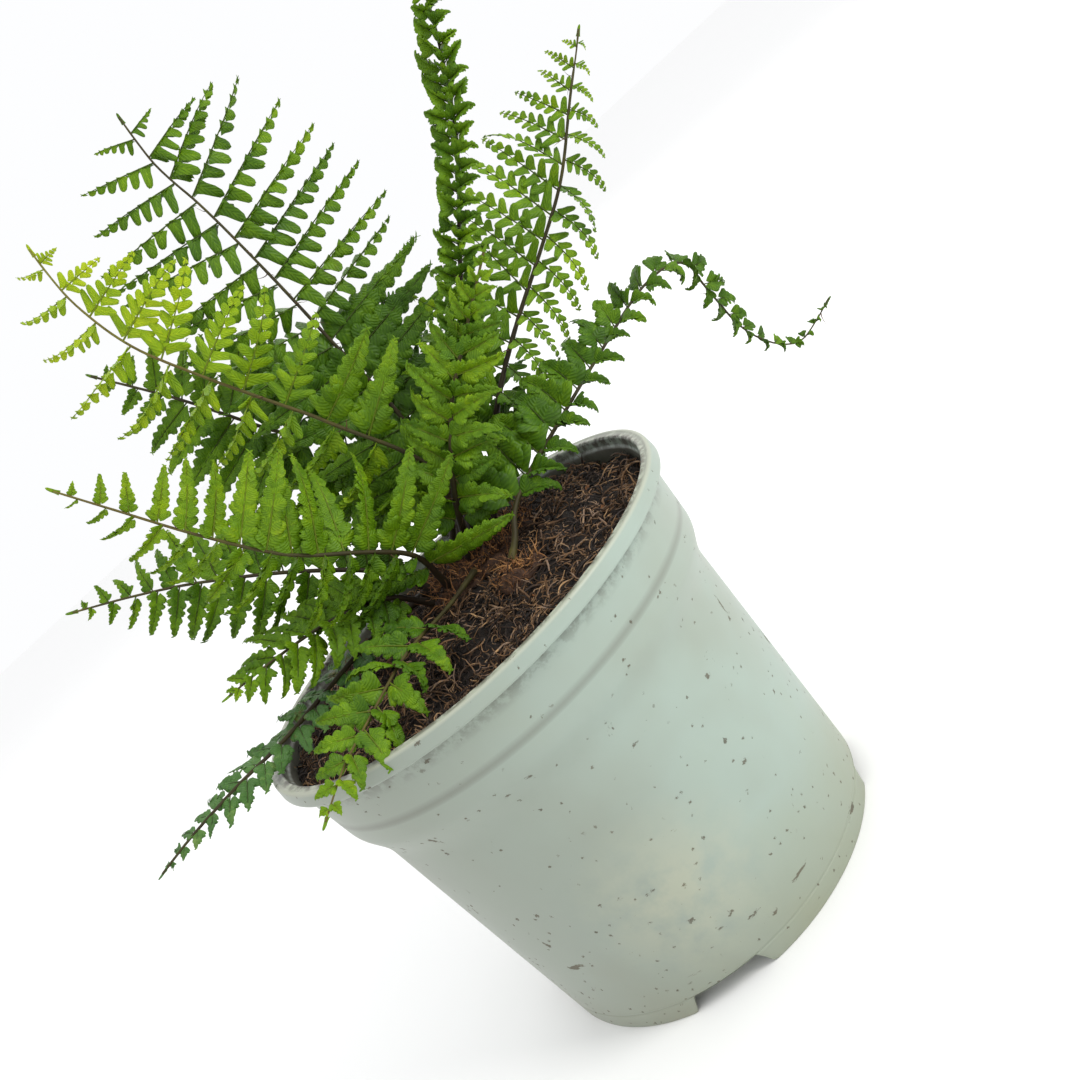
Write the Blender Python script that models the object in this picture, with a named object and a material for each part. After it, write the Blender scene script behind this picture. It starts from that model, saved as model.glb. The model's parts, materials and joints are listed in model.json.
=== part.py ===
"""A young fern in a plastic nursery pot. Metres, +Z up.

The origin is on the pot's axis, on the underside of its floor, and the foot
ring reaches a little below it. The fronds spread mostly towards -X and +X.
"""

import math

import bmesh
import bpy
from mathutils import Vector

# Pot
LIP_RADIUS = 0.085
LIP_TOP_RADIUS = 0.0845
LIP_INNER_RADIUS = 0.0802
RIM_Z = 0.134
LIP_HEIGHT = 0.0051
COLLAR_TOP_RADIUS = 0.0808
COLLAR_BOTTOM_RADIUS = 0.0787
COLLAR_BOTTOM_Z = 0.1035
BODY_TOP_RADIUS = 0.0738
BODY_TOP_Z = 0.0935
BASE_RADIUS = 0.0683
WALL = 0.0016
FLOOR_THICKNESS = 0.0018
FOOT_HEIGHT = 0.007
FOOT_GAP_COUNT = 4
FOOT_GAP_ANGLE = math.radians(24)
FIRST_GAP_ANGLE = math.radians(-108)
DRAIN_RADIUS = 0.005
DRAIN_PITCH_RADIUS = 0.050
POT_SEGMENTS = 72

# Soil and crowns
GAP = 0.0003
SOIL_EDGE_Z = 0.1245
SOIL_RISE = 0.005
SOIL_RINGS = 6
CROWN_RINGS = 5
CROWN_SEGMENTS = 28

# Fronds
STEM_SAMPLES = 22
STIPE_RADIUS = 0.0014
RACHIS_TIP_RADIUS = 0.0004
STRIP_HALF_WIDTH = 0.0009
BLADE_THICKNESS = 0.0007
PINNA_SHOULDER = 0.45
PINNA_NECK = 0.85

CROWNS = {
    "crown_main": {"centre": (0.016, 0.024), "radius": 0.025, "height": 0.0055},
    "crown_side": {"centre": (0.021, -0.022), "radius": 0.009, "height": 0.0035},
}

# Each frond: the centreline of its stem from the crown to the tip, the way its upper face looks,
# where along the stem the first leaflets sit, how many pairs, and how far the longest reach each side.
FRONDS = {
    "tall_left": {
        "path": ((0.015, 0.030, 0.136), (0.027, 0.035, 0.155), (0.032, 0.039, 0.189), (0.032, 0.041, 0.220),
                 (0.032, 0.043, 0.252), (0.031, 0.044, 0.282), (0.029, 0.046, 0.303), (0.031, 0.047, 0.322)),
        "face": (0.0, -1.0, 0.25), "start": 0.20, "pairs": 17, "left": 0.043, "right": 0.046, "lift": 0.10,
    },
    "bright_left": {
        "path": ((0.010, 0.020, 0.137), (0.026, 0.017, 0.166), (0.012, 0.015, 0.202), (0.001, 0.013, 0.224),
                 (-0.009, 0.010, 0.244), (-0.018, 0.008, 0.265), (-0.021, 0.005, 0.286), (-0.019, 0.002, 0.304)),
        "face": (-0.3, -1.0, 0.3), "start": 0.30, "pairs": 14, "left": 0.024, "right": 0.031, "lift": 0.15,
    },
    "dark_left": {
        "path": ((0.017, 0.039, 0.135), (0.026, 0.050, 0.159), (0.016, 0.061, 0.181), (-0.003, 0.064, 0.208),
                 (-0.021, 0.066, 0.241), (-0.038, 0.067, 0.268)),
        "face": (-0.1, -1.0, 0.3), "start": 0.32, "pairs": 13, "left": 0.032, "right": 0.032, "lift": 0.08,
    },
    "low_left": {
        "path": ((0.002, 0.008, 0.137), (0.001, -0.002, 0.154), (-0.009, -0.011, 0.168), (-0.027, -0.018, 0.186),
                 (-0.041, -0.024, 0.209), (-0.053, -0.030, 0.233), (-0.060, -0.036, 0.248)),
        "face": (-0.3, -1.0, 0.35), "start": 0.24, "pairs": 13, "left": 0.022, "right": 0.026, "lift": 0.12,
    },
    "low_left_behind": {
        "path": ((-0.003, 0.021, 0.137), (-0.010, 0.020, 0.152), (-0.031, 0.021, 0.173), (-0.057, 0.023, 0.193),
                 (-0.076, 0.024, 0.205), (-0.094, 0.024, 0.215)),
        "face": (-0.3, -1.0, 0.7), "start": 0.30, "pairs": 12, "left": 0.020, "right": 0.020, "lift": -0.10,
    },
    "tuft_left": {
        "path": ((-0.006, 0.012, 0.135), (-0.016, 0.005, 0.149), (-0.033, -0.002, 0.158), (-0.053, -0.008, 0.163),
                 (-0.072, -0.014, 0.166)),
        "face": (-0.3, -0.7, 1.0), "start": 0.34, "pairs": 8, "left": 0.015, "right": 0.015, "lift": -0.10,
    },
    "old_left": {
        "path": ((-0.004, 0.030, 0.134), (-0.030, 0.014, 0.140), (-0.052, 0.002, 0.141), (-0.072, -0.006, 0.141),
                 (-0.092, -0.011, 0.142), (-0.112, -0.013, 0.141), (-0.127, -0.014, 0.139)),
        "face": (0.0, -0.45, 1.0), "start": 0.26, "pairs": 12, "left": 0.013, "right": 0.013, "lift": -0.05,
    },
    "old_front": {
        "path": ((0.012, 0.003, 0.134), (-0.003, -0.020, 0.139), (-0.022, -0.040, 0.143), (-0.041, -0.058, 0.142),
                 (-0.055, -0.069, 0.140), (-0.067, -0.080, 0.136)),
        "face": (0.3, -0.6, 1.0), "start": 0.34, "pairs": 8, "left": 0.015, "right": 0.015, "lift": 0.0,
    },
    "upright": {
        "path": ((0.022, 0.029, 0.137), (0.030, 0.021, 0.159), (0.048, 0.014, 0.180), (0.066, 0.010, 0.199),
                 (0.083, 0.007, 0.219), (0.105, 0.003, 0.246), (0.122, -0.003, 0.278), (0.130, -0.007, 0.303)),
        "face": (-0.5, -1.0, 0.2), "start": 0.34, "pairs": 18, "left": 0.014, "right": 0.013, "lift": 0.55,
    },
    "right_high": {
        "path": ((0.027, 0.022, 0.136), (0.040, 0.024, 0.150), (0.060, 0.026, 0.168), (0.082, 0.029, 0.182),
                 (0.108, 0.031, 0.196), (0.130, 0.032, 0.209), (0.151, 0.033, 0.227), (0.170, 0.034, 0.243)),
        "face": (-0.2, -1.0, 0.3), "start": 0.26, "pairs": 14, "left": 0.030, "right": 0.016, "lift": 0.20,
    },
    "right_low": {
        "path": ((0.022, -0.021, 0.133), (0.028, -0.014, 0.138), (0.040, -0.005, 0.146), (0.069, 0.003, 0.153),
                 (0.097, 0.010, 0.159), (0.124, 0.016, 0.164), (0.142, 0.020, 0.160), (0.145, 0.026, 0.143),
                 (0.149, 0.031, 0.120), (0.163, 0.035, 0.103), (0.185, 0.039, 0.106)),
        "face": (0.0, -0.7, 1.0), "start": 0.18, "pairs": 20, "left": 0.020, "right": 0.014, "lift": 0.20,
    },
    "small_middle": {
        "path": ((0.015, 0.014, 0.137), (0.025, 0.002, 0.160), (0.043, -0.005, 0.183), (0.062, -0.009, 0.198),
                 (0.083, -0.012, 0.213)),
        "face": (-0.4, -1.0, 0.3), "start": 0.40, "pairs": 9, "left": 0.013, "right": 0.013, "lift": 0.30,
    },
    "dark_back": {
        "path": ((0.021, 0.041, 0.134), (0.030, 0.060, 0.161), (0.044, 0.076, 0.187), (0.057, 0.083, 0.207),
                 (0.066, 0.087, 0.224)),
        "face": (-0.2, -1.0, 0.3), "start": 0.34, "pairs": 10, "left": 0.030, "right": 0.020, "lift": 0.05,
    },
}


def clear_scene():
    for obj in list(bpy.data.objects):
        bpy.data.objects.remove(obj, do_unlink=True)


def make_material(name, colour, roughness):
    material = bpy.data.materials.new(name)
    material.use_nodes = True
    shader = material.node_tree.nodes["Principled BSDF"]
    shader.inputs["Base Color"].default_value = (*colour, 1.0)
    shader.inputs["Roughness"].default_value = roughness
    shader.inputs["Metallic"].default_value = 0.0
    return material


def link_object(name, data, material):
    obj = bpy.data.objects.new(name, data)
    bpy.context.scene.collection.objects.link(obj)
    data.materials.append(material)
    return obj


def mesh_object(name, bm, material):
    bmesh.ops.recalc_face_normals(bm, faces=bm.faces)
    mesh = bpy.data.meshes.new(name)
    bm.to_mesh(mesh)
    bm.free()
    obj = link_object(name, mesh, material)
    mesh.shade_smooth()
    mesh.set_sharp_from_angle(angle=math.radians(35))
    return obj


def add_ring(bm, radius, z, segments):
    """A ring of points about the Z axis."""
    ring = []
    for i in range(segments):
        turn = 2 * math.pi * i / segments
        ring.append(bm.verts.new((radius * math.cos(turn), radius * math.sin(turn), z)))
    return ring


def join_rings(bm, lower, upper):
    count = len(lower)
    for i in range(count):
        j = (i + 1) % count
        bm.faces.new((lower[i], lower[j], upper[j], upper[i]))


def pot_profile():
    """The pot's section, from the underside's edge, up the outside and down the inside."""
    slope = (BODY_TOP_RADIUS - BASE_RADIUS) / (BODY_TOP_Z + FOOT_HEIGHT)
    foot_inner = BASE_RADIUS - WALL
    lip_z = RIM_Z - LIP_HEIGHT
    inside_floor = BASE_RADIUS + slope * (FLOOR_THICKNESS + FOOT_HEIGHT) - WALL
    return (
        (foot_inner, 0.0),
        (foot_inner, -FOOT_HEIGHT),
        (BASE_RADIUS, -FOOT_HEIGHT),
        (BODY_TOP_RADIUS, BODY_TOP_Z),
        (COLLAR_BOTTOM_RADIUS, COLLAR_BOTTOM_Z),
        (COLLAR_TOP_RADIUS, lip_z - 0.0006),
        (LIP_RADIUS - 0.0006, lip_z - 0.0006),
        (LIP_RADIUS, lip_z),
        (LIP_TOP_RADIUS, RIM_Z - 0.0006),
        (LIP_TOP_RADIUS - 0.0006, RIM_Z),
        (LIP_INNER_RADIUS + 0.0005, RIM_Z),
        (LIP_INNER_RADIUS, RIM_Z - 0.0005),
        (LIP_INNER_RADIUS - 0.0002, RIM_Z - 0.0035),
        (COLLAR_TOP_RADIUS - WALL, RIM_Z - 0.0045),
        (COLLAR_BOTTOM_RADIUS - WALL, COLLAR_BOTTOM_Z + 0.0005),
        (BODY_TOP_RADIUS - WALL, BODY_TOP_Z + 0.0005),
        (inside_floor, FLOOR_THICKNESS),
    )


def foot_gap_cutter():
    """One mesh of wedges, each of which opens a gap in the foot ring."""
    bm = bmesh.new()
    for i in range(FOOT_GAP_COUNT):
        middle = FIRST_GAP_ANGLE + 2 * math.pi * i / FOOT_GAP_COUNT
        corners = []
        for radius in (BASE_RADIUS - 4 * WALL, BASE_RADIUS + 4 * WALL):
            for half in (-FOOT_GAP_ANGLE / 2, 0.0, FOOT_GAP_ANGLE / 2):
                turn = middle + half
                corners.append((radius * math.cos(turn), radius * math.sin(turn)))
        outline = (corners[0], corners[3], corners[4], corners[5], corners[2], corners[1])
        bottom = [bm.verts.new((x, y, -2 * FOOT_HEIGHT)) for x, y in outline]
        top = [bm.verts.new((x, y, -GAP)) for x, y in outline]
        bm.faces.new(bottom)
        bm.faces.new(top)
        join_rings(bm, bottom, top)
    bmesh.ops.recalc_face_normals(bm, faces=bm.faces)
    return helper_object("foot_gap_cutter", bm)


def drain_cutter():
    bm = bmesh.new()
    for i in range(FOOT_GAP_COUNT):
        middle = FIRST_GAP_ANGLE + 2 * math.pi * i / FOOT_GAP_COUNT
        centre = Vector((DRAIN_PITCH_RADIUS * math.cos(middle), DRAIN_PITCH_RADIUS * math.sin(middle), 0.0))
        made = bmesh.ops.create_cone(
            bm, cap_ends=True, segments=16, radius1=DRAIN_RADIUS, radius2=DRAIN_RADIUS, depth=6 * FLOOR_THICKNESS
        )
        bmesh.ops.translate(bm, verts=made["verts"], vec=centre)
    bmesh.ops.recalc_face_normals(bm, faces=bm.faces)
    return helper_object("drain_cutter", bm)


def helper_object(name, bm):
    mesh = bpy.data.meshes.new(name)
    bm.to_mesh(mesh)
    bm.free()
    obj = bpy.data.objects.new(name, mesh)
    bpy.context.scene.collection.objects.link(obj)
    obj.hide_render = True
    obj.display_type = "WIRE"
    return obj


def make_pot(material):
    bm = bmesh.new()
    rings = [add_ring(bm, radius, z, POT_SEGMENTS) for radius, z in pot_profile()]
    for lower, upper in zip(rings, rings[1:]):
        join_rings(bm, lower, upper)
    bm.faces.new(rings[0])
    bm.faces.new(rings[-1])
    pot = mesh_object("pot", bm, material)
    for cutter in (foot_gap_cutter(), drain_cutter()):
        cut = pot.modifiers.new(cutter.name, "BOOLEAN")
        cut.operation = "DIFFERENCE"
        cut.solver = "EXACT"
        cut.object = cutter
    return pot


def inner_radius(z):
    """The radius of the pot's inside wall at a height, below the lip."""
    points = [point for point in reversed(pot_profile()) if point[1] >= 0.0][:4]
    for (low_radius, low_z), (high_radius, high_z) in zip(points, points[1:]):
        if low_z <= z <= high_z:
            return low_radius + (high_radius - low_radius) * (z - low_z) / (high_z - low_z)
    return points[0][0]


def soil_top(x, y):
    """The height of the soil's surface: a low dome."""
    share = math.hypot(x, y) / (inner_radius(SOIL_EDGE_Z) - GAP)
    return SOIL_EDGE_Z + SOIL_RISE * (1.0 - min(share, 1.0) ** 2)


def make_soil(material):
    bm = bmesh.new()
    levels = (FLOOR_THICKNESS + GAP, BODY_TOP_Z, COLLAR_BOTTOM_Z + 0.001, SOIL_EDGE_Z)
    rings = [add_ring(bm, inner_radius(z) - GAP, z, POT_SEGMENTS // 2) for z in levels]
    edge = inner_radius(SOIL_EDGE_Z) - GAP
    for i in range(1, SOIL_RINGS):
        radius = edge * (1.0 - i / SOIL_RINGS)
        rings.append(add_ring(bm, radius, soil_top(radius, 0.0), POT_SEGMENTS // 2))
    for lower, upper in zip(rings, rings[1:]):
        join_rings(bm, lower, upper)
    bm.faces.new(rings[0])
    bm.faces.new(rings[-1])
    return mesh_object("soil", bm, material)


def ground_top(x, y):
    """The height of the soil, or of a crown where one stands on it."""
    highest = soil_top(x, y)
    for size in CROWNS.values():
        dx, dy = x - size["centre"][0], y - size["centre"][1]
        share = math.hypot(dx, dy) / (size["radius"] * crown_lump(math.atan2(dy, dx)))
        if share < 1.0:
            highest = soil_top(x, y) + size["height"] * math.sqrt(1.0 - share**2) + 6 * GAP
    return highest


def crown_lump(turn):
    """How far a crown's outline swells or shrinks with the angle round it."""
    return 1.0 + 0.10 * math.cos(3 * turn + 0.6) + 0.06 * math.cos(5 * turn)


def crown_point(size, share, turn):
    reach = share * size["radius"] * crown_lump(turn)
    x = size["centre"][0] + reach * math.cos(turn)
    y = size["centre"][1] + reach * math.sin(turn)
    return x, y


def make_crown(name, size, material):
    """A low mound whose underside follows the soil."""
    bm = bmesh.new()
    rings = []
    for side in ("under", "over"):
        steps = range(CROWN_RINGS) if side == "under" else range(CROWN_RINGS, -1, -1)
        for i in steps:
            share = (i + 0.35) / (CROWN_RINGS + 0.35)
            ring = []
            for j in range(CROWN_SEGMENTS):
                x, y = crown_point(size, share, 2 * math.pi * j / CROWN_SEGMENTS)
                rise = 2.5 * GAP
                if side == "over":
                    rise += size["height"] * math.sqrt(1.0 - share**2) + 3 * GAP
                ring.append(bm.verts.new((x, y, soil_top(x, y) + rise)))
            rings.append(ring)
    for lower, upper in zip(rings, rings[1:]):
        join_rings(bm, lower, upper)
    bm.faces.new(rings[0])
    bm.faces.new(rings[-1])
    return mesh_object(name, bm, material)


def smooth_point(points, share):
    """A point on the smooth curve through the given points; share runs from 0 to 1 by length."""
    lengths = [0.0]
    for a, b in zip(points, points[1:]):
        lengths.append(lengths[-1] + (b - a).length)
    wanted = min(max(share, 0.0), 1.0) * lengths[-1]
    i = 0
    while i < len(points) - 2 and lengths[i + 1] < wanted:
        i += 1
    t = (wanted - lengths[i]) / (lengths[i + 1] - lengths[i])
    p1, p2 = points[i], points[i + 1]
    p0 = points[i - 1] if i > 0 else p1 * 2 - p2
    p3 = points[i + 2] if i + 2 < len(points) else p2 * 2 - p1
    return 0.5 * (
        p1 * 2 + (p2 - p0) * t + (p0 * 2 - p1 * 5 + p2 * 4 - p3) * t**2 + (p1 * 3 - p0 - p2 * 3 + p3) * t**3
    )


def stem_radius(share):
    return STIPE_RADIUS + (RACHIS_TIP_RADIUS - STIPE_RADIUS) * share**0.7


def make_stem(name, points, material):
    curve = bpy.data.curves.new(name, "CURVE")
    curve.dimensions = "3D"
    curve.bevel_depth = 1.0
    curve.bevel_resolution = 1
    curve.use_fill_caps = True
    spline = curve.splines.new("POLY")
    spline.points.add(STEM_SAMPLES - 1)
    for i, point in enumerate(spline.points):
        share = i / (STEM_SAMPLES - 1)
        point.co = (*smooth_point(points, share), 1.0)
        point.radius = stem_radius(share)
    spline.use_smooth = True
    return link_object(name, curve, material)


def frame_at(points, share, face):
    """The place on a stem with its tangent, the way to its right and the way its upper face looks."""
    step = 0.01
    tangent = (smooth_point(points, share + step) - smooth_point(points, share - step)).normalized()
    side = tangent.cross(face).normalized()
    return smooth_point(points, share), tangent, side, side.cross(tangent).normalized()


def reach_share(along):
    """How long a pair of leaflets is against the longest, from the lowest pair at 0 to the tip at 1."""
    rise = min(1.0, 0.62 + 1.9 * along)
    return max(0.10, rise * (1.0 - along) ** 0.62)


def make_blade(name, frond, points, material):
    """Both rows of leaflets on a narrow strip just above the stem, as one thin sheet given a thickness."""
    bm = bmesh.new()
    face = Vector(frond["face"])
    start, pairs = frond["start"], frond["pairs"]
    span = 0.985 - start
    length = sum((b - a).length for a, b in zip(points, points[1:]))
    edges = {"left": [], "right": []}
    for i in range(2 * pairs + 1):
        share = start + span * (i + (0.12 if i % 2 else -0.12)) / (2 * pairs)
        place, tangent, side, up = frame_at(points, share, face)
        place += up * (stem_radius(share) + GAP + BLADE_THICKNESS)
        half = STRIP_HALF_WIDTH * (1.0 - 0.5 * share)
        edges["left"].append(bm.verts.new(place - side * half))
        edges["right"].append(bm.verts.new(place + side * half))
    for i in range(2 * pairs):
        bm.faces.new((edges["left"][i], edges["left"][i + 1], edges["right"][i + 1], edges["right"][i]))
    for i in range(pairs):
        along = (i + 0.5) / pairs
        _, tangent, side, up = frame_at(points, start + span * along, face)
        for name_of_side, sign in (("left", -1.0), ("right", 1.0)):
            low = edges[name_of_side][2 * i]
            high = edges[name_of_side][2 * i + 1]
            reach = frond[name_of_side] * reach_share(along)
            out = (side * sign + tangent * (0.25 + 0.5 * along) + up * frond["lift"]).normalized()
            wide = min((high.co - low.co).length, length * span / pairs) * tangent
            middle = (low.co + high.co) / 2
            droop = up * (-0.10 * reach)
            neck = [middle + out * reach * PINNA_SHOULDER + wide * k for k in (-0.5 * PINNA_NECK, 0.5 * PINNA_NECK)]
            tip = middle + out * reach + droop
            a = bm.verts.new(neck[0])
            b = bm.verts.new(neck[1])
            c = bm.verts.new(tip)
            bm.faces.new((low, high, b, a))
            bm.faces.new((a, b, c))
    obj = mesh_object(name, bm, material)
    thick = obj.modifiers.new("thickness", "SOLIDIFY")
    thick.thickness = BLADE_THICKNESS
    thick.offset = 0.0
    return obj


def make_frond(name, frond, stem_material, blade_material):
    points = [Vector(point) for point in frond["path"]]
    points[0].z = ground_top(points[0].x, points[0].y) + STIPE_RADIUS + GAP
    make_stem("stem_" + name, points, stem_material)
    make_blade("blade_" + name, frond, points, blade_material)


def main():
    clear_scene()
    pot_plastic = make_material("pot_plastic", (0.42, 0.56, 0.47), 0.5)
    soil_fibre = make_material("soil_fibre", (0.035, 0.02, 0.012), 0.95)
    crown_scales = make_material("crown_scales", (0.24, 0.10, 0.03), 0.9)
    stem_dark = make_material("stem_dark", (0.10, 0.09, 0.03), 0.6)
    leaf_dark = make_material("leaf_dark", (0.05, 0.16, 0.015), 0.55)
    leaf_bright = make_material("leaf_bright", (0.20, 0.42, 0.02), 0.5)
    make_pot(pot_plastic)
    make_soil(soil_fibre)
    for name, size in CROWNS.items():
        make_crown(name, size, crown_scales)
    bright = ("bright_left", "low_left", "old_front", "small_middle")
    for name, frond in FRONDS.items():
        make_frond(name, frond, stem_dark, leaf_bright if name in bright else leaf_dark)


main()
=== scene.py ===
import json
import math
import random

import bmesh
import bpy
from mathutils import Matrix, Vector, noise

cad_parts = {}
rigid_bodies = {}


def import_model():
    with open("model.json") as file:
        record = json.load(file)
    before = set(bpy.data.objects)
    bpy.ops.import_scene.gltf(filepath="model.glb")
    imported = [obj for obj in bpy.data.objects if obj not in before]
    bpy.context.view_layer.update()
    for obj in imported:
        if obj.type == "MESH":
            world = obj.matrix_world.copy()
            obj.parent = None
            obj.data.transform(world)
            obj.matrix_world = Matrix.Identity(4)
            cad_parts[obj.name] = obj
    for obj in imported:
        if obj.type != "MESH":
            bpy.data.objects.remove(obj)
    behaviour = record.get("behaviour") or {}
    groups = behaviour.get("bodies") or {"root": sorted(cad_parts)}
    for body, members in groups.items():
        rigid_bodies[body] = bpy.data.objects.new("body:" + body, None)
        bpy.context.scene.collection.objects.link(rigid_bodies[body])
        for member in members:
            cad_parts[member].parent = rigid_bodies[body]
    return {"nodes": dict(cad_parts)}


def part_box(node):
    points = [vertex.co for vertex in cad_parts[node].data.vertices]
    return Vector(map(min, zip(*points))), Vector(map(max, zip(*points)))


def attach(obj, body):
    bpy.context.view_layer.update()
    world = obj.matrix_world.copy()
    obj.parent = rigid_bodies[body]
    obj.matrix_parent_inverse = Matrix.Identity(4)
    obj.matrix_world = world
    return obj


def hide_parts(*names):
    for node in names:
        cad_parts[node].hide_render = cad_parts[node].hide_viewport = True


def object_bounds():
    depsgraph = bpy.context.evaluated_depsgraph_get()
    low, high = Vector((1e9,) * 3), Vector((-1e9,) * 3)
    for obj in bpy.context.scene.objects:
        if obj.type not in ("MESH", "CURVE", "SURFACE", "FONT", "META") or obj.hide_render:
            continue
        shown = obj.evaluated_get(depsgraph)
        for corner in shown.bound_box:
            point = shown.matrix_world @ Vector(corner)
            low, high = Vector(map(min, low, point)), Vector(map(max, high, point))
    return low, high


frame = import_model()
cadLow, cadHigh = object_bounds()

print("scene: frame loaded", len(frame["nodes"]), "nodes")


def addNode(tree, kind, inputs=None, **settings):
    node = tree.nodes.new(kind)
    for name, value in settings.items():
        setattr(node, name, value)
    for name, value in (inputs or {}).items():
        if isinstance(value, bpy.types.NodeSocket):
            tree.links.new(value, node.inputs[name])
        else:
            node.inputs[name].default_value = value
    return node


def newMaterial(name, **fixed):
    material = bpy.data.materials.new(name)
    material.use_nodes = True
    shader = material.node_tree.nodes["Principled BSDF"]
    for socket, value in fixed.items():
        shader.inputs[socket.replace("_", " ")].default_value = value
    return material, material.node_tree, shader


def objectCoords(tree, scale=(1.0, 1.0, 1.0)):
    coords = addNode(tree, "ShaderNodeTexCoord")
    return addNode(tree, "ShaderNodeMapping", {"Vector": coords.outputs["Object"], "Scale": scale}).outputs[0]


def noiseAt(tree, vector, scale, detail=3.0, rough=0.5):
    made = addNode(tree, "ShaderNodeTexNoise",
                   {"Vector": vector, "Scale": scale, "Detail": detail, "Roughness": rough})
    return made.outputs["Fac"]


def ramp(tree, value, low, high, start=0.0, end=1.0):
    made = addNode(tree, "ShaderNodeMapRange", {"Value": value, "From Min": low, "From Max": high,
                                                "To Min": start, "To Max": end})
    return made.outputs["Result"]


def mixColour(tree, factor, first, second, blend="MIX"):
    made = addNode(tree, "ShaderNodeMix", data_type="RGBA", blend_type=blend)
    for index, value in ((0, factor), (6, first), (7, second)):
        if isinstance(value, bpy.types.NodeSocket):
            tree.links.new(value, made.inputs[index])
        else:
            made.inputs[index].default_value = value if index == 0 else (*value, 1.0)
    return made.outputs[2]


def doMath(tree, operation, first, second=0.0):
    made = addNode(tree, "ShaderNodeMath", {0: first, 1: second}, operation=operation)
    return made.outputs[0]


def times(tree, first, second):
    return doMath(tree, "MULTIPLY", first, second)


def plus(tree, first, second):
    return doMath(tree, "ADD", first, second)


def colourStrip(tree, value, stops):
    # the first two stops are the strip's ends, and the others are added between them
    made = addNode(tree, "ShaderNodeValToRGB", {0: value})
    strip = made.color_ramp
    for i, (at, colour) in enumerate(stops):
        stop = strip.elements[i] if i < 2 else strip.elements.new(at)
        stop.position = at
        stop.color = (*colour, 1.0)
    return made.outputs["Color"]


def bump(tree, height, strength, distance):
    return addNode(tree, "ShaderNodeBump",
                   {"Height": height, "Strength": strength, "Distance": distance}).outputs[0]


def placeObject(name, data):
    obj = bpy.data.objects.new(name, data)
    bpy.context.scene.collection.objects.link(obj)
    return obj


def bakedMesh(obj):
    # the object's mesh with its modifiers applied
    return bpy.data.meshes.new_from_object(obj.evaluated_get(bpy.context.evaluated_depsgraph_get()))


def meshObject(name, vertices, faces, materials=(), smooth=True, edges=()):
    mesh = bpy.data.meshes.new(name)
    mesh.from_pydata(vertices, edges, faces)
    mesh.update()
    for material in materials:
        mesh.materials.append(material)
    if smooth and faces:
        mesh.shade_smooth()
    return placeObject(name, mesh)


def giveAttribute(mesh, name, kind, values):
    attribute = mesh.attributes.new(name, kind, "POINT")
    field = "vector" if kind == "FLOAT_VECTOR" else "value"
    flat = [part for value in values for part in value] if kind == "FLOAT_VECTOR" else values
    attribute.data.foreach_set(field, flat)


def finishPiece(piece, slot, *nodes):
    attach(piece, "root")
    if nodes:
        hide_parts(*nodes)


def newGeoTree(name, sockets):
    tree = bpy.data.node_groups.new(name, "GeometryNodeTree")
    tree.interface.new_socket("Geometry", in_out="INPUT", socket_type="NodeSocketGeometry")
    tree.interface.new_socket("Geometry", in_out="OUTPUT", socket_type="NodeSocketGeometry")
    for label, kind, value in sockets:
        socket = tree.interface.new_socket(label, in_out="INPUT", socket_type="NodeSocket" + kind)
        if value is not None:
            socket.default_value = value
    return tree, tree.nodes.new("NodeGroupInput"), tree.nodes.new("NodeGroupOutput")


def namedField(tree, name, kind="FLOAT"):
    return addNode(tree, "GeometryNodeInputNamedAttribute", {"Name": name}, data_type=kind).outputs[0]


def closeTree(tree, geometry, material, last):
    real = addNode(tree, "GeometryNodeRealizeInstances", {0: geometry})
    painted = addNode(tree, "GeometryNodeSetMaterial", {"Geometry": real.outputs[0], "Material": material})
    tree.links.new(painted.outputs[0], last.inputs[0])


def addTube(tree, lines, sides, thickness):
    # a closed tube along every run of edges, as thick as its points' girth says
    curve = addNode(tree, "GeometryNodeMeshToCurve", {0: lines})
    girth = times(tree, namedField(tree, "girth"), thickness)
    sized = addNode(tree, "GeometryNodeSetCurveRadius", {0: curve.outputs[0], "Radius": girth})
    ring = addNode(tree, "GeometryNodeCurvePrimitiveCircle", {"Resolution": sides, "Radius": 1.0})
    tube = addNode(tree, "GeometryNodeCurveToMesh",
                   {"Curve": sized.outputs[0], "Profile Curve": ring.outputs[0], "Fill Caps": True})
    if "Scale" in tube.inputs:
        tree.links.new(addNode(tree, "GeometryNodeInputRadius").outputs[0], tube.inputs["Scale"])
    return tube.outputs[0]


def makeTubeTree():
    tree, first, last = newGeoTree("tubeAlongEdges", (
        ("Sides", "Int", 6), ("Thickness", "Float", 1.0), ("Material", "Material", None)))
    tube = addTube(tree, first.outputs["Geometry"], first.outputs["Sides"], first.outputs["Thickness"])
    smooth = addNode(tree, "GeometryNodeSetShadeSmooth", {0: tube})
    closeTree(tree, smooth.outputs[0], first.outputs["Material"], last)
    return tree


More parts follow.
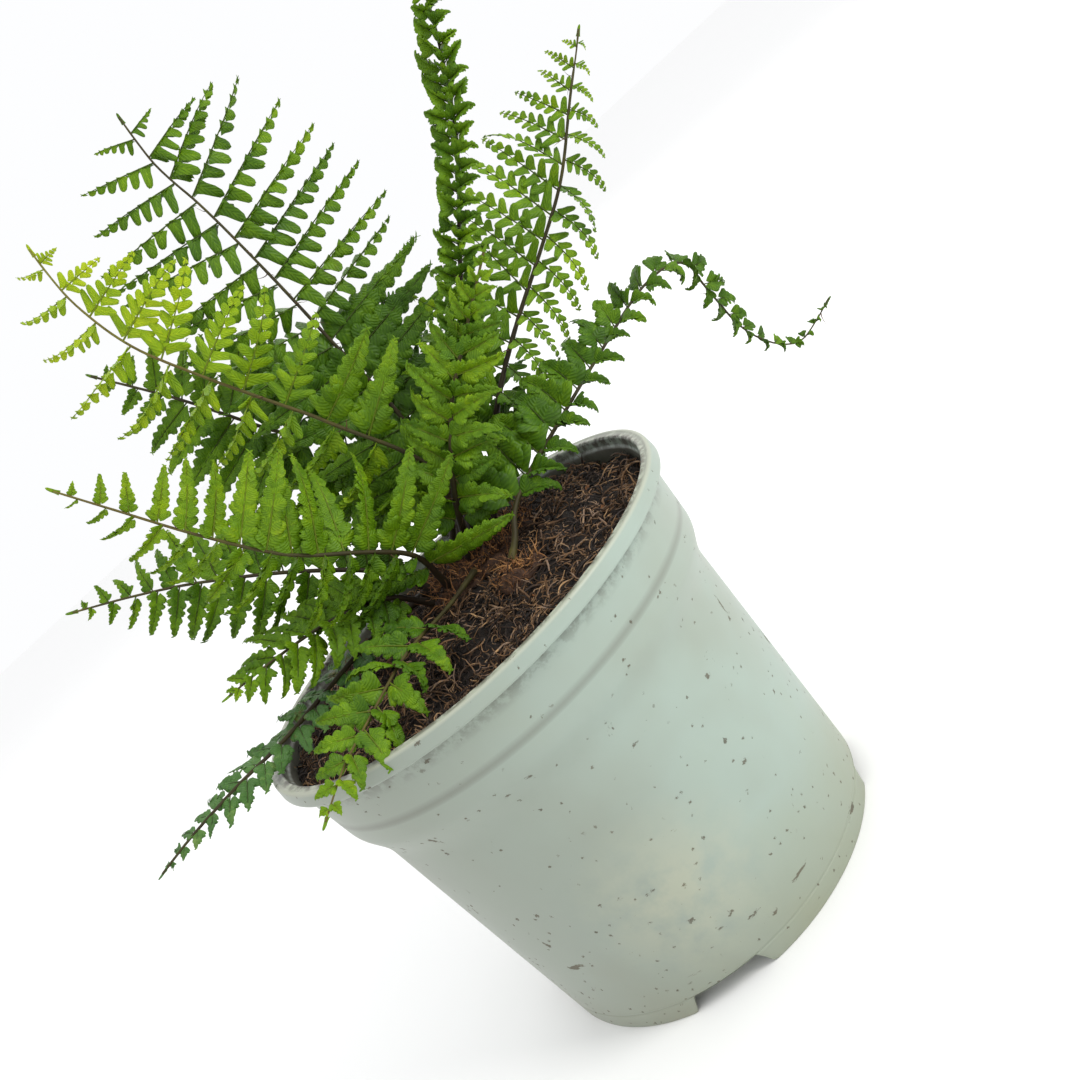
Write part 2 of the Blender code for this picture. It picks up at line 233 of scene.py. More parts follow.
def makeScatterTree():
    # bits strewn over a surface, lying within a tilt of it, thinned by the surface's own "cover"
    tree, first, last = newGeoTree("bitsOnSurface", (
        ("Bits", "Collection", None), ("Density", "Float", 1000.0), ("Smallest", "Float", 0.6),
        ("Largest", "Float", 1.2), ("Tilt", "Float", 0.4), ("Lift", "Float", 0.0), ("Seed", "Int", 1),
        ("Material", "Material", None)))
    spread = addNode(tree, "GeometryNodeDistributePointsOnFaces",
                     {"Mesh": first.outputs["Geometry"], "Seed": first.outputs["Seed"]})
    density = times(tree, first.outputs["Density"], namedField(tree, "cover"))
    tree.links.new(density, spread.inputs["Density"])
    lift = addNode(tree, "ShaderNodeVectorMath", {0: spread.outputs["Normal"]}, operation="SCALE")
    tree.links.new(first.outputs["Lift"], lift.inputs["Scale"])
    raised = addNode(tree, "GeometryNodeSetPosition", {0: spread.outputs[0], "Offset": lift.outputs[0]})
    bits = addNode(tree, "GeometryNodeCollectionInfo", {"Collection": first.outputs["Bits"],
                                                        "Separate Children": True, "Reset Children": True})
    tilt = first.outputs["Tilt"]
    wobble = addNode(tree, "ShaderNodeCombineXYZ")
    for axis in range(2):
        swing = addNode(tree, "FunctionNodeRandomValue", {"Seed": 11 + axis}, data_type="FLOAT")
        tree.links.new(times(tree, tilt, -1.0), swing.inputs[2])
        tree.links.new(tilt, swing.inputs[3])
        tree.links.new(swing.outputs[1], wobble.inputs[axis])
    spin = addNode(tree, "FunctionNodeRandomValue", {"Seed": 13}, data_type="FLOAT")
    spin.inputs[2].default_value, spin.inputs[3].default_value = 0.0, 2 * math.pi
    tree.links.new(spin.outputs[1], wobble.inputs[2])
    turned = addNode(tree, "FunctionNodeRotateRotation", {0: spread.outputs["Rotation"]},
                     rotation_space="LOCAL")
    tree.links.new(wobble.outputs[0], turned.inputs[1])
    size = addNode(tree, "FunctionNodeRandomValue", {"Seed": 17}, data_type="FLOAT")
    tree.links.new(first.outputs["Smallest"], size.inputs[2])
    tree.links.new(first.outputs["Largest"], size.inputs[3])
    placed = addNode(tree, "GeometryNodeInstanceOnPoints",
                     {"Points": raised.outputs[0], "Instance": bits.outputs[0], "Pick Instance": True,
                      "Rotation": turned.outputs[0], "Scale": size.outputs[1]})
    shade = addNode(tree, "FunctionNodeRandomValue", {"Seed": 19}, data_type="FLOAT")
    toned = addNode(tree, "GeometryNodeStoreNamedAttribute",
                    {"Geometry": placed.outputs[0], "Name": "tone", "Value": shade.outputs[1]},
                    data_type="FLOAT", domain="INSTANCE")
    closeTree(tree, toned.outputs[0], first.outputs["Material"], last)
    return tree


def growMesh(source, tree, name, **values):
    # runs a tree on an object and keeps the result as a plain mesh object
    modifier = source.modifiers.new(tree.name, "NODES")
    modifier.node_group = tree
    for item in tree.interface.items_tree:
        if item.in_out == "INPUT" and item.name in values:
            modifier[item.identifier] = values[item.name]
    mesh = bakedMesh(source)
    mesh.name = name
    source.modifiers.remove(modifier)
    return placeObject(name, mesh)


def stockOf(name, objects):
    # a collection of shapes for a tree to pick from, kept out of the scene
    collection = bpy.data.collections.new(name)
    for obj in objects:
        for holder in list(obj.users_collection):
            holder.objects.unlink(obj)
        collection.objects.link(obj)
    return collection


def clearStock(collection):
    for obj in list(collection.objects):
        bpy.data.objects.remove(obj, do_unlink=True)
    bpy.data.collections.remove(collection)


viewSettings = {
    "place": (0.0, -0.40987, 0.24896),
    "right": (0.71828, -0.25331, -0.64800),
    "down": (-0.69086, -0.14939, -0.70739),
    "lens": 41.74, "sensor": 36.0,
    "floorColour": (0.965, 0.965, 0.96), "floorSize": 6.0,
    "worldColour": (0.985, 0.99, 1.0), "worldStrength": 1.0,
    # each lamp: where it stands from the plant's middle, its size, watts and colour
    "lamps": {
        "keyLamp": ((0.75, -0.62, 0.62), 0.5, 7.0, (1.0, 0.99, 0.96)),
        "fillLamp": ((-0.95, -0.75, 0.35), 1.1, 0.4, (0.93, 0.97, 1.0)),
        "backLamp": ((0.25, 1.0, 0.8), 0.9, 3.5, (1.0, 1.0, 0.98)),
    },
}
sagWay = Vector(viewSettings["down"]).normalized()


def makeCamera(values):
    right, down = Vector(values["right"]).normalized(), Vector(values["down"]).normalized()
    back = right.cross(-down).normalized()
    data = bpy.data.cameras.new("camera")
    data.lens, data.sensor_width = values["lens"], values["sensor"]
    data.clip_start, data.clip_end = 0.01, 30.0
    camera = placeObject("camera", data)
    turn = Matrix((right, -down, back)).transposed()
    camera.matrix_world = Matrix.Translation(values["place"]) @ turn.to_4x4()
    bpy.context.scene.camera = camera


def makeLights(values, middle):
    for name, (place, size, watts, colour) in values["lamps"].items():
        data = bpy.data.lights.new(name, "AREA")
        data.size, data.energy, data.color = size, watts, colour
        lamp = placeObject(name, data)
        lamp.location = middle + Vector(place)
        lamp.rotation_euler = (-Vector(place)).to_track_quat("-Z", "Y").to_euler()
    world = bpy.data.worlds.new("studio")
    world.use_nodes = True
    sky = world.node_tree.nodes["Background"]
    sky.inputs["Color"].default_value = (*values["worldColour"], 1.0)
    sky.inputs["Strength"].default_value = values["worldStrength"]
    bpy.context.scene.world = world
    bpy.context.scene.view_settings.view_transform = "Standard"


def makeFloor(values, level):
    material, tree, shader = newMaterial("studioFloor", Roughness=0.85)
    speck = noiseAt(tree, objectCoords(tree), 35.0)
    paper = mixColour(tree, speck, values["floorColour"], tuple(0.985 * part for part in values["floorColour"]))
    tree.links.new(paper, shader.inputs["Base Color"])
    half = values["floorSize"] / 2
    corners = [(-half, -half, level), (half, -half, level), (half, half, level), (-half, half, level)]
    floor = meshObject("floor", corners, [(0, 1, 2, 3)], (material,), smooth=False)


makeCamera(viewSettings)
makeLights(viewSettings, (cadLow + cadHigh) / 2)
makeFloor(viewSettings, cadLow.z)
print("scene: camera, lights and floor")


potSettings = {
    "segments": 288,
    "base": 0.0683, "bodyTop": (0.0738, 0.0935), "collarLow": (0.0787, 0.1035), "collarTop": 0.0808,
    "lip": 0.0850, "lipTop": 0.0845, "lipInner": 0.0802, "rim": 0.134, "lipHeight": 0.0051,
    "wall": 0.0016, "floor": 0.0018, "foot": 0.007,
    "gapCount": 4, "firstGap": -108.0, "gapWidth": 24.0, "gapSlope": 3.2,
    "drainRadius": 0.005, "drainPitch": 0.050,
}


def roundedProfile(corners, steps=4):
    # (radius, height, rounding) corners to a smooth outline
    points = []
    for i, (x, z, rounding) in enumerate(corners):
        here = Vector((x, z))
        if rounding <= 0 or i in (0, len(corners) - 1):
            points.append((x, z))
            continue
        before, after = Vector(corners[i - 1][:2]), Vector(corners[i + 1][:2])
        toBefore, toAfter = before - here, after - here
        back = min(rounding, toBefore.length * 0.48)
        ahead = min(rounding, toAfter.length * 0.48)
        start, end = here + toBefore.normalized() * back, here + toAfter.normalized() * ahead
        for k in range(steps + 1):
            t = k / steps
            spot = start * (1 - t) ** 2 + here * 2 * t * (1 - t) + end * t ** 2
            points.append((spot.x, spot.y))
    return points


def splitLong(points, longest):
    made = [points[0]]
    for a, b in zip(points, points[1:]):
        pieces = max(1, math.ceil(math.dist(a, b) / longest))
        for k in range(1, pieces + 1):
            made.append((a[0] + (b[0] - a[0]) * k / pieces, a[1] + (b[1] - a[1]) * k / pieces))
    return made


def gapShare(angle, values):
    # 0 along the foot ring, 1 inside a gap, with sloping ends
    turn = 360.0 / values["gapCount"]
    off = abs((math.degrees(angle) - values["firstGap"] + turn / 2) % turn - turn / 2)
    share = (values["gapWidth"] / 2 - off) / values["gapSlope"] + 0.5
    share = min(max(share, 0.0), 1.0)
    return share * share * (3 - 2 * share)


def makePotMesh(values):
    slope = (values["bodyTop"][0] - values["base"]) / (values["bodyTop"][1] + values["foot"])
    footIn = values["base"] - values["wall"]
    lipZ = values["rim"] - values["lipHeight"]
    wall = values["wall"]
    insideFloor = values["base"] + slope * (values["floor"] + values["foot"]) - wall
    corners = (
        (0.0, 0.0, 0), (footIn - 0.0006, 0.0, 0.0004), (footIn, -0.0006, 0.0004),
        (footIn, -values["foot"], 0.0005), (values["base"], -values["foot"], 0.0006),
        (values["base"] + slope * 0.0064, -0.0006, 0.0004),
        (values["base"] + slope * 0.0070 - 0.00035, -0.0001, 0.0003),
        (values["base"] + slope * 0.0076, 0.0005, 0.0004),
        (*values["bodyTop"], 0.0045), (*values["collarLow"], 0.0022),
        (values["collarTop"], lipZ - 0.0006, 0.0009), (values["lip"] - 0.0003, lipZ - 0.0004, 0.0007),
        (values["lip"], lipZ + 0.0004, 0.0005), (values["lipTop"], values["rim"] - 0.0003, 0.0009),
        (values["lipTop"] - 0.0011, values["rim"], 0.0005),
        (values["lipTop"] - 0.0019, values["rim"] - 0.0004, 0.0004),
        (values["lipInner"] + 0.0006, values["rim"] - 0.0001, 0.0005),
        (values["lipInner"], values["rim"] - 0.0008, 0.0006),
        (values["lipInner"] - 0.0002, values["rim"] - 0.0035, 0.0006),
        (values["collarTop"] - wall, values["rim"] - 0.0045, 0.0006),
        (values["collarLow"][0] - wall, values["collarLow"][1] + 0.0005, 0.002),
        (values["bodyTop"][0] - wall, values["bodyTop"][1] + 0.0005, 0.004),
        (insideFloor, values["floor"], 0.002), (0.0, values["floor"], 0),
    )
    outline = splitLong(roundedProfile(corners), 0.005)
    count = values["segments"]
    vertices, faces, rings = [], [], []
    for radius, height in outline:
        if radius < 1e-6:
            rings.append([len(vertices)])
            vertices.append((0.0, 0.0, height))
            continue
        ring = []
        for i in range(count):
            angle = 2 * math.pi * i / count
            z = height
            if height < 0.0:
                z = height * (1.0 - 0.97 * gapShare(angle, values))
            ring.append(len(vertices))
            vertices.append((radius * math.cos(angle), radius * math.sin(angle), z))
        rings.append(ring)
    for lower, upper in zip(rings, rings[1:]):
        for i in range(count):
            j = (i + 1) % count
            if len(lower) == 1:
                faces.append((lower[0], upper[j], upper[i]))
            elif len(upper) == 1:
                faces.append((lower[i], lower[j], upper[0]))
            else:
                faces.append((lower[i], lower[j], upper[j], upper[i]))
    return vertices, faces


def drillDrains(pot, values):
    bm = bmesh.new()
    for i in range(values["gapCount"]):
        angle = math.radians(values["firstGap"] + 360.0 * i / values["gapCount"])
        spot = Vector((math.cos(angle), math.sin(angle), 0.0)) * values["drainPitch"]
        made = bmesh.ops.create_cone(bm, cap_ends=True, segments=32, radius1=values["drainRadius"],
                                     radius2=values["drainRadius"], depth=0.012)
        bmesh.ops.translate(bm, verts=made["verts"], vec=spot)
    mesh = bpy.data.meshes.new("drainCutter")
    bm.to_mesh(mesh)
    bm.free()
    cutter = placeObject("drainCutter", mesh)
    cut = pot.modifiers.new("drains", "BOOLEAN")
    cut.object, cut.solver = cutter, "EXACT"
    solid = bakedMesh(pot)
    pot.modifiers.remove(cut)
    pot.data = solid
    bpy.data.objects.remove(cutter, do_unlink=True)


def makePotMaterial(values):
    material, tree, shader = newMaterial("potPlastic", IOR=1.46)
    coords = objectCoords(tree)
    split = addNode(tree, "ShaderNodeSeparateXYZ", {0: coords})
    height = split.outputs["Z"]
    cloud = noiseAt(tree, coords, 16.0, 3.0, 0.55)
    fine = noiseAt(tree, coords, 90.0, 4.0, 0.6)
    base = mixColour(tree, ramp(tree, cloud, 0.35, 0.68), (0.290, 0.335, 0.280), (0.335, 0.415, 0.365))
    # the foot and low wall are made darker and yellower
    yellow = plus(tree, ramp(tree, height, 0.036, -0.006), ramp(tree, cloud, 0.42, 0.7, -0.35, 0.35))
    yellow = ramp(tree, yellow, 0.1, 1.2, 0.0, 0.75)
    base = mixColour(tree, yellow, base, (0.26, 0.255, 0.155))
    # painted shade: the -x side, turned away from the key lamp, is painted greyer and darker
    paintedSideShade = times(tree, ramp(tree, split.outputs["X"], 0.02, -0.07), ramp(tree, cloud, 0.3, 0.6, 0.35, 0.75))
    base = mixColour(tree, paintedSideShade, base, (0.262, 0.272, 0.222))
    # a beige scuffed patch on the front wall
    patch = addNode(tree, "ShaderNodeVectorMath", {0: coords, 1: (-0.012, -0.07, 0.035)}, operation="DISTANCE")
    scuff = times(tree, ramp(tree, patch.outputs["Value"], 0.036, 0.008), ramp(tree, fine, 0.35, 0.6))
    base = mixColour(tree, times(tree, scuff, 0.45), base, (0.47, 0.47, 0.34))
    # lip top turns cream and its inner edge gathers grime
    lip = ramp(tree, height, values["rim"] - 0.0012, values["rim"] - 0.0002)
    base = mixColour(tree, times(tree, lip, 0.7), base, (0.46, 0.47, 0.37))
    radius = addNode(tree, "ShaderNodeCombineXYZ", {0: split.outputs["X"], 1: split.outputs["Y"]})
    radius = addNode(tree, "ShaderNodeVectorMath", {0: radius.outputs[0]}, operation="LENGTH").outputs["Value"]
    grimeNoise = noiseAt(tree, coords, 230.0, 5.0, 0.65)
    inward = ramp(tree, radius, 0.0838, 0.0806)
    highUp = ramp(tree, height, values["rim"] - 0.012, values["rim"] - 0.0003)
    grime = times(tree, times(tree, inward, highUp), ramp(tree, grimeNoise, 0.42, 0.56))
    base = mixColour(tree, grime, base, (0.055, 0.042, 0.028))
    # inside wall below the lip is painted dark: partly painted shade in the recess under the lip, partly dirt
    inside = times(tree, ramp(tree, radius, 0.0796, 0.0792),
                   ramp(tree, height, values["rim"] - 0.0031, values["rim"] - 0.0040))
    aboveSoil = ramp(tree, height, 0.110, 0.112)
    base = mixColour(tree, times(tree, times(tree, inside, aboveSoil), 0.85),
                     base, (0.10, 0.095, 0.075))
    # specks, crumbs and short streaks of dirt
    specks = None
    for scale, size, chance, stretch in ((200.0, 0.17, 0.915, (1, 1, 1)), (130.0, 0.12, 0.87, (1.0, 1.0, 0.30)),
                                         (100.0, 0.10, 0.86, (0.4, 0.4, 1.5)), (430.0, 0.22, 0.89, (1, 1, 1)),
                                         (270.0, 0.15, 0.90, (0.4, 1.0, 1.0))):
        place = objectCoords(tree, stretch)
        warp = noiseAt(tree, place, scale * 2.6, 4.0, 0.75)
        cells = addNode(tree, "ShaderNodeTexVoronoi", {"Vector": place, "Scale": scale, "Randomness": 1.0})
        near = plus(tree, cells.outputs["Distance"], ramp(tree, warp, 0.3, 0.7, -0.24, 0.24))
        blot = ramp(tree, near, size, size * 0.55)
        pick = addNode(tree, "ShaderNodeSeparateColor", {0: cells.outputs["Color"]})
        dense = ramp(tree, height, 0.10, 0.0, -0.035, 0.06)
        chosen = ramp(tree, plus(tree, pick.outputs[0], dense), chance, chance + 0.01)
        spot = times(tree, blot, chosen)
        specks = spot if specks is None else doMath(tree, "MAXIMUM", specks, spot)
    dirtTint = mixColour(tree, fine, (0.030, 0.024, 0.018), (0.15, 0.115, 0.07))
    base = mixColour(tree, times(tree, specks, 0.8), base, dirtTint)
    tree.links.new(base, shader.inputs["Base Color"])
    rough = plus(tree, ramp(tree, cloud, 0.3, 0.7, 0.36, 0.46), times(tree, specks, 0.35))
    tree.links.new(rough, shader.inputs["Roughness"])
    relief = plus(tree, times(tree, noiseAt(tree, coords, 45.0, 2.0), 0.6), times(tree, fine, 0.12))
    relief = plus(tree, relief, times(tree, specks, 0.5))
    tree.links.new(bump(tree, relief, 0.35, 0.0006), shader.inputs["Normal"])
    shader.inputs["Subsurface Weight"].default_value = 0.12
    shader.inputs["Subsurface Radius"].default_value = (0.004, 0.005, 0.004)
    return material


potMaterial = makePotMaterial(potSettings)
potVertices, potFaces = makePotMesh(potSettings)
pot = meshObject("nurseryPot", potVertices, potFaces, (potMaterial,))
drillDrains(pot, potSettings)
pot.data.set_sharp_from_angle(angle=math.radians(50))
finishPiece(pot, "pot", "pot")
print("scene: pot", len(pot.data.polygons), "faces")


soilSettings = {
    "edgeHeight": 0.1245, "rise": 0.005, "edgeRadius": 0.0786, "skirtDepth": 0.010,
    "skirtInset": 0.0006,
    "rings": 60, "segments": 200, "lumps": 0.0032, "grain": 0.0018,
}


def soilDome(x, y):
    share = min(math.hypot(x, y) / soilSettings["edgeRadius"], 1.0)
    return soilSettings["edgeHeight"] + soilSettings["rise"] * (1.0 - share ** 2)


def soilHeight(x, y):
    spot = Vector((x, y, 0.0))
    lumps = noise.fractal(spot * 70.0, 0.9, 2.1, 3) * soilSettings["lumps"]
    grain = noise.fractal(spot * 380.0, 0.8, 2.2, 3) * soilSettings["grain"]
    hollow = -0.0035 * math.exp(-((x + 0.012) ** 2 + (y + 0.047) ** 2) / 0.00018)
    return soilDome(x, y) + lumps + grain + hollow


def makeSoilMesh(values):
    vertices, faces = [(0.0, 0.0, soilHeight(0.0, 0.0))], []
    rings, count = [], values["segments"]
    for i in range(1, values["rings"] + 1):
        radius = values["edgeRadius"] * (i / values["rings"]) ** 0.8
        ring = []
        for j in range(count):
            angle = 2 * math.pi * j / count
            x, y = radius * math.cos(angle), radius * math.sin(angle)
            ring.append(len(vertices))
            vertices.append((x, y, soilHeight(x, y)))
        rings.append(ring)
    bottom, radius = values["edgeHeight"] - values["skirtDepth"], values["edgeRadius"] - values["skirtInset"]
    rings.append(list(range(len(vertices), len(vertices) + count)))
    for j in range(count):
        angle = 2 * math.pi * j / count
        vertices.append((radius * math.cos(angle), radius * math.sin(angle), bottom))
    vertices.append((0.0, 0.0, bottom))
    for j in range(count):
        k = (j + 1) % count
        faces.append((0, rings[0][j], rings[0][k]))
        faces.append((len(vertices) - 1, rings[-1][k], rings[-1][j]))
    for inner, outer in zip(rings, rings[1:]):
        for j in range(count):
            k = (j + 1) % count
            faces.append((inner[j], outer[j], outer[k], inner[k]))
    return vertices, faces


def threadShape(name, points, girth, sides=4):
    # a thin closed tapering thread through its points
    vertices, faces, rings = [], [], []
    way = None
    for i, point in enumerate(points):
        before, after = Vector(points[max(i - 1, 0)]), Vector(points[min(i + 1, len(points) - 1)])
        tangent = (after - before).normalized()
        across = tangent.cross(Vector((0.1, 0.2, 1.0))).normalized() if way is None else way
        across = (across - tangent * across.dot(tangent)).normalized()
        way = across
        up = tangent.cross(across)
        ring = []
        for k in range(sides):
            angle = 2 * math.pi * k / sides
            size = girth[i]
            ring.append(len(vertices))
            vertices.append(Vector(point) + (across * math.cos(angle) + up * math.sin(angle)) * size)
        rings.append(ring)
    for a, b in zip(rings, rings[1:]):
        for k in range(sides):
            n = (k + 1) % sides
            faces.append((a[k], a[n], b[n], b[k]))
    faces.append(tuple(reversed(rings[0])))
    faces.append(tuple(rings[-1]))
    return meshObject(name, [tuple(v) for v in vertices], faces)


def makeThreads(prefix, count, length, thick, curl, seed, steps=7):
    draws = random.Random(seed)
    made = []
    for i in range(count):
        point, turn, climb = Vector((0, 0, 0)), draws.uniform(0, 6.28), draws.uniform(-0.1, 0.35)
        swing, run = draws.uniform(-curl, curl), length * draws.uniform(0.6, 1.3)
        points = []
        for k in range(steps + 1):
            points.append(point.copy())
            heading = Vector((math.cos(turn), math.sin(turn), climb))
            point += heading.normalized() * run / steps
            turn += swing / steps + draws.uniform(-0.35, 0.35) * curl / 2
            climb += draws.uniform(-0.45, 0.30)
        middle = sum(points, Vector()) / len(points)
        girth = [thick * (0.35 + 0.65 * math.sin(math.pi * (k + 0.6) / (steps + 1.2)))
                 for k in range(steps + 1)]
        made.append(threadShape(prefix + str(i), [p - middle for p in points], girth))
    return made


def makeCrumbs(prefix, count, size, flat, seed):
    draws = random.Random(seed)
    made = []
    for i in range(count):
        bm = bmesh.new()
        bmesh.ops.create_icosphere(bm, subdivisions=1, radius=size)
        stretch = Vector((draws.uniform(0.5, 1.0), draws.uniform(0.6, 1.6), draws.uniform(flat, flat * 2)))
        for vertex in bm.verts:
            vertex.co *= draws.uniform(0.75, 1.2)
            vertex.co = Vector(part * scale for part, scale in zip(vertex.co, stretch))
        mesh = bpy.data.meshes.new(prefix + str(i))
        bm.to_mesh(mesh)
        bm.free()
        made.append(placeObject(prefix + str(i), mesh))
    return made


def makeSoilMaterial():
    material, tree, shader = newMaterial("pottingMix", Roughness=0.95)
    coords = objectCoords(tree)
    coarse, fine = noiseAt(tree, coords, 150.0, 4.0, 0.6), noiseAt(tree, coords, 900.0, 4.0, 0.7)
    base = mixColour(tree, ramp(tree, coarse, 0.35, 0.65), (0.003, 0.002, 0.0015), (0.012, 0.007, 0.004))
    base = mixColour(tree, ramp(tree, fine, 0.5, 0.72), base, (0.035, 0.018, 0.009))
    tree.links.new(base, shader.inputs["Base Color"])
    height = plus(tree, coarse, times(tree, fine, 0.5))
    tree.links.new(bump(tree, height, 0.9, 0.0015), shader.inputs["Normal"])
    return material


def makeToneMaterial(name, stops, rough, scale, attribute="tone", relief=0.4):
    # colours picked along a ramp by each bit's own tone
    material, tree, shader = newMaterial(name, Roughness=rough)
    tone = addNode(tree, "ShaderNodeAttribute", attribute_name=attribute).outputs["Fac"]
    speck = noiseAt(tree, objectCoords(tree), scale, 3.0, 0.6)
    mixed = plus(tree, tone, ramp(tree, speck, 0.3, 0.7, -0.12, 0.12))
    colours = colourStrip(tree, mixed, stops)
    tree.links.new(colours, shader.inputs["Base Color"])
    tree.links.new(bump(tree, speck, relief, 0.0003), shader.inputs["Normal"])
    return material


tubeTree, scatterTree = makeTubeTree(), makeScatterTree()
soilMaterial = makeSoilMaterial()
soilVertices, soilFaces = makeSoilMesh(soilSettings)
soil = meshObject("pottingSoil", soilVertices, soilFaces, (soilMaterial,))
cover = []
for x, y, z in soilVertices:
    clump = noise.noise(Vector((x, y, 3.0)) * 55.0)
    onTop = z > soilSettings["edgeHeight"] - 0.006 and math.hypot(x, y) < soilSettings["edgeRadius"] - 0.001
    cover.append(min(max(0.8 + 1.6 * clump, 0.4), 1.7) if onTop else 0.0)
giveAttribute(soil.data, "cover", "FLOAT", cover)
fibreStock = stockOf("fibreStock", makeThreads("fibre", 8, 0.0092, 0.00024, 3.4, 5))
thickStock = stockOf("thickStock", makeThreads("root", 6, 0.014, 0.00042, 2.2, 6))
crumbStock = stockOf("crumbStock", makeCrumbs("crumb", 6, 0.0011, 0.35, 7))
fibreMaterial = makeToneMaterial("coirFibre", (
    (0.0, (0.006, 0.003, 0.002)), (1.0, (0.44, 0.26, 0.12)), (0.35, (0.022, 0.011, 0.006)),
    (0.58, (0.085, 0.043, 0.018)), (0.78, (0.21, 0.11, 0.045)), (0.9, (0.21, 0.145, 0.105))), 0.8, 500.0)
crumbMaterial = makeToneMaterial("barkCrumb", (
    (0.0, (0.004, 0.003, 0.002)), (1.0, (0.26, 0.11, 0.04)), (0.55, (0.014, 0.008, 0.005)),
    (0.85, (0.06, 0.027, 0.011))), 0.9, 700.0)
fibres = growMesh(soil, scatterTree, "soilFibres", Bits=fibreStock, Density=148000.0, Smallest=0.5,
                  Largest=1.35, Tilt=0.55, Lift=0.0008, Seed=3, Material=fibreMaterial)
moreFibres = growMesh(soil, scatterTree, "soilThreads", Bits=fibreStock, Density=140000.0, Smallest=0.4,
                      Largest=1.0, Tilt=0.9, Lift=0.0014, Seed=14, Material=fibreMaterial)
roots = growMesh(soil, scatterTree, "soilRoots", Bits=thickStock, Density=30000.0, Smallest=0.5,
                 Largest=1.1, Tilt=0.35, Lift=0.0012, Seed=8, Material=fibreMaterial)
crumbs = growMesh(soil, scatterTree, "barkCrumbs", Bits=crumbStock, Density=70000.0, Smallest=0.35,
                  Largest=1.3, Tilt=0.8, Lift=0.0004, Seed=5, Material=crumbMaterial)


def keepInside(piece, radius, lowest):
    # bits that would poke through the pot's wall or below the soil are pulled in
    for vertex in piece.data.vertices:
        reach = math.hypot(vertex.co.x, vertex.co.y)
        if reach > radius:
            vertex.co.x *= radius / reach
            vertex.co.y *= radius / reach
        vertex.co.z = max(vertex.co.z, lowest)


for piece in (fibres, moreFibres, roots, crumbs):
    keepInside(piece, soilSettings["edgeRadius"] - 0.0002, soilSettings["edgeHeight"] - 0.008)
    finishPiece(piece, "soil", "soil")
finishPiece(soil, "soil", "soil")
print("scene: soil", [len(piece.data.polygons) for piece in (fibres, moreFibres, roots, crumbs)], "faces")


crownSettings = {
    "crown_main": {"scaleDensity": 900000.0, "hairDensity": 500000.0, "seed": 21, "shaggy": 1.0},
    "crown_side": {"scaleDensity": 900000.0, "hairDensity": 500000.0, "seed": 22, "shaggy": 0.8},
}


def mergedCopy(node, name):
    mesh = frame["nodes"][node].data.copy()
    mesh.name = name
    bm = bmesh.new()
    bm.from_mesh(mesh)
    bmesh.ops.remove_doubles(bm, verts=bm.verts, dist=2e-5)
    bmesh.ops.dissolve_degenerate(bm, edges=bm.edges, dist=1e-6)
    bm.to_mesh(mesh)
    bm.free()
    return mesh


def makeCrown(node, values, stock, material):
    mesh = mergedCopy(node, node + "Mound")
    low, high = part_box(node)
    middle = (low + high) / 2
    obj = placeObject(node + "Mound", mesh)
    finer = obj.modifiers.new("finer", "SUBSURF")
    finer.levels = finer.render_levels = 2
    smoothMesh = bakedMesh(obj)
    obj.modifiers.remove(finer)
    obj.data = smoothMesh
    smoothMesh.materials.clear()
    smoothMesh.materials.append(material)
    for vertex in smoothMesh.vertices:
        if vertex.normal.z > 0.05:
            swell = noise.fractal(vertex.co * 190.0, 0.9, 2.0, 3)
            vertex.co += Vector((0, 0, 1)) * 0.0022 * swell
    cover = [1.0 if vertex.normal.z > 0.1 else 0.0 for vertex in smoothMesh.vertices]
    giveAttribute(smoothMesh, "cover", "FLOAT", cover)
    giveAttribute(smoothMesh, "tone", "FLOAT", [0.35] * len(smoothMesh.vertices))
    hair = growMesh(obj, scatterTree, node + "Hair", Bits=stock, Density=values["hairDensity"],
                    Smallest=0.5, Largest=1.25 * values["shaggy"], Tilt=1.0, Lift=0.0008,
                    Seed=values["seed"], Material=material)
    for piece in (obj, hair):
        finishPiece(piece, "crown", node)
    return middle


def makeScales(prefix, count, seed):
    # papery brown scales: long, thin, tapering and curled, standing on their broad end
    draws = random.Random(seed)
    made = []
    for i in range(count):
        length, lean = 0.0058 * draws.uniform(0.7, 1.2), draws.uniform(0.3, 1.4)
        points, girth = [], []
        for k in range(7):
            t = k / 6
            points.append((math.sin(lean * t) * length * t, draws.uniform(-0.0002, 0.0002), length * t * 0.8))
            girth.append(0.00030 * (1.0 - 0.85 * t))
        made.append(threadShape(prefix + str(i), points, girth))
    return made


scaleStock = stockOf("scaleStock", makeScales("scale", 6, 31))
crownMaterial = makeToneMaterial("crownScales", (
    (0.0, (0.008, 0.004, 0.002)), (1.0, (0.52, 0.26, 0.09)), (0.35, (0.05, 0.020, 0.008)),
    (0.7, (0.25, 0.105, 0.032))), 0.75, 600.0)
for crownName, crownValues in crownSettings.items():
    makeCrown(crownName, crownValues, scaleStock, crownMaterial)
print("scene: crowns")


stemSettings = {
    "ringSpan": 0.0031, "samples": 72, "tubeSides": 12,
    "hairDensity": 160000.0, "baseSwell": 1.55, "swellReach": 0.10,
}


def smoothCurve(points, count):
    # evenly stepped points of the smooth curve through the given ones
    points = [Vector(p) for p in points]
    lengths = [0.0]
    for a, b in zip(points, points[1:]):
        lengths.append(lengths[-1] + (b - a).length)
    made, i = [], 0
    for k in range(count):
        wanted = lengths[-1] * k / (count - 1)
        while i < len(points) - 2 and lengths[i + 1] < wanted:
            i += 1
        t = (wanted - lengths[i]) / max(lengths[i + 1] - lengths[i], 1e-9)
        p1, p2 = points[i], points[i + 1]
        p0 = points[i - 1] if i > 0 else p1 * 2 - p2
        p3 = points[i + 2] if i + 2 < len(points) else p2 * 2 - p1
        made.append(0.5 * (p1 * 2 + (p2 - p0) * t + (p0 * 2 - p1 * 5 + p2 * 4 - p3) * t ** 2
                           + (p1 * 3 - p0 - p2 * 3 + p3) * t ** 3))
    return made


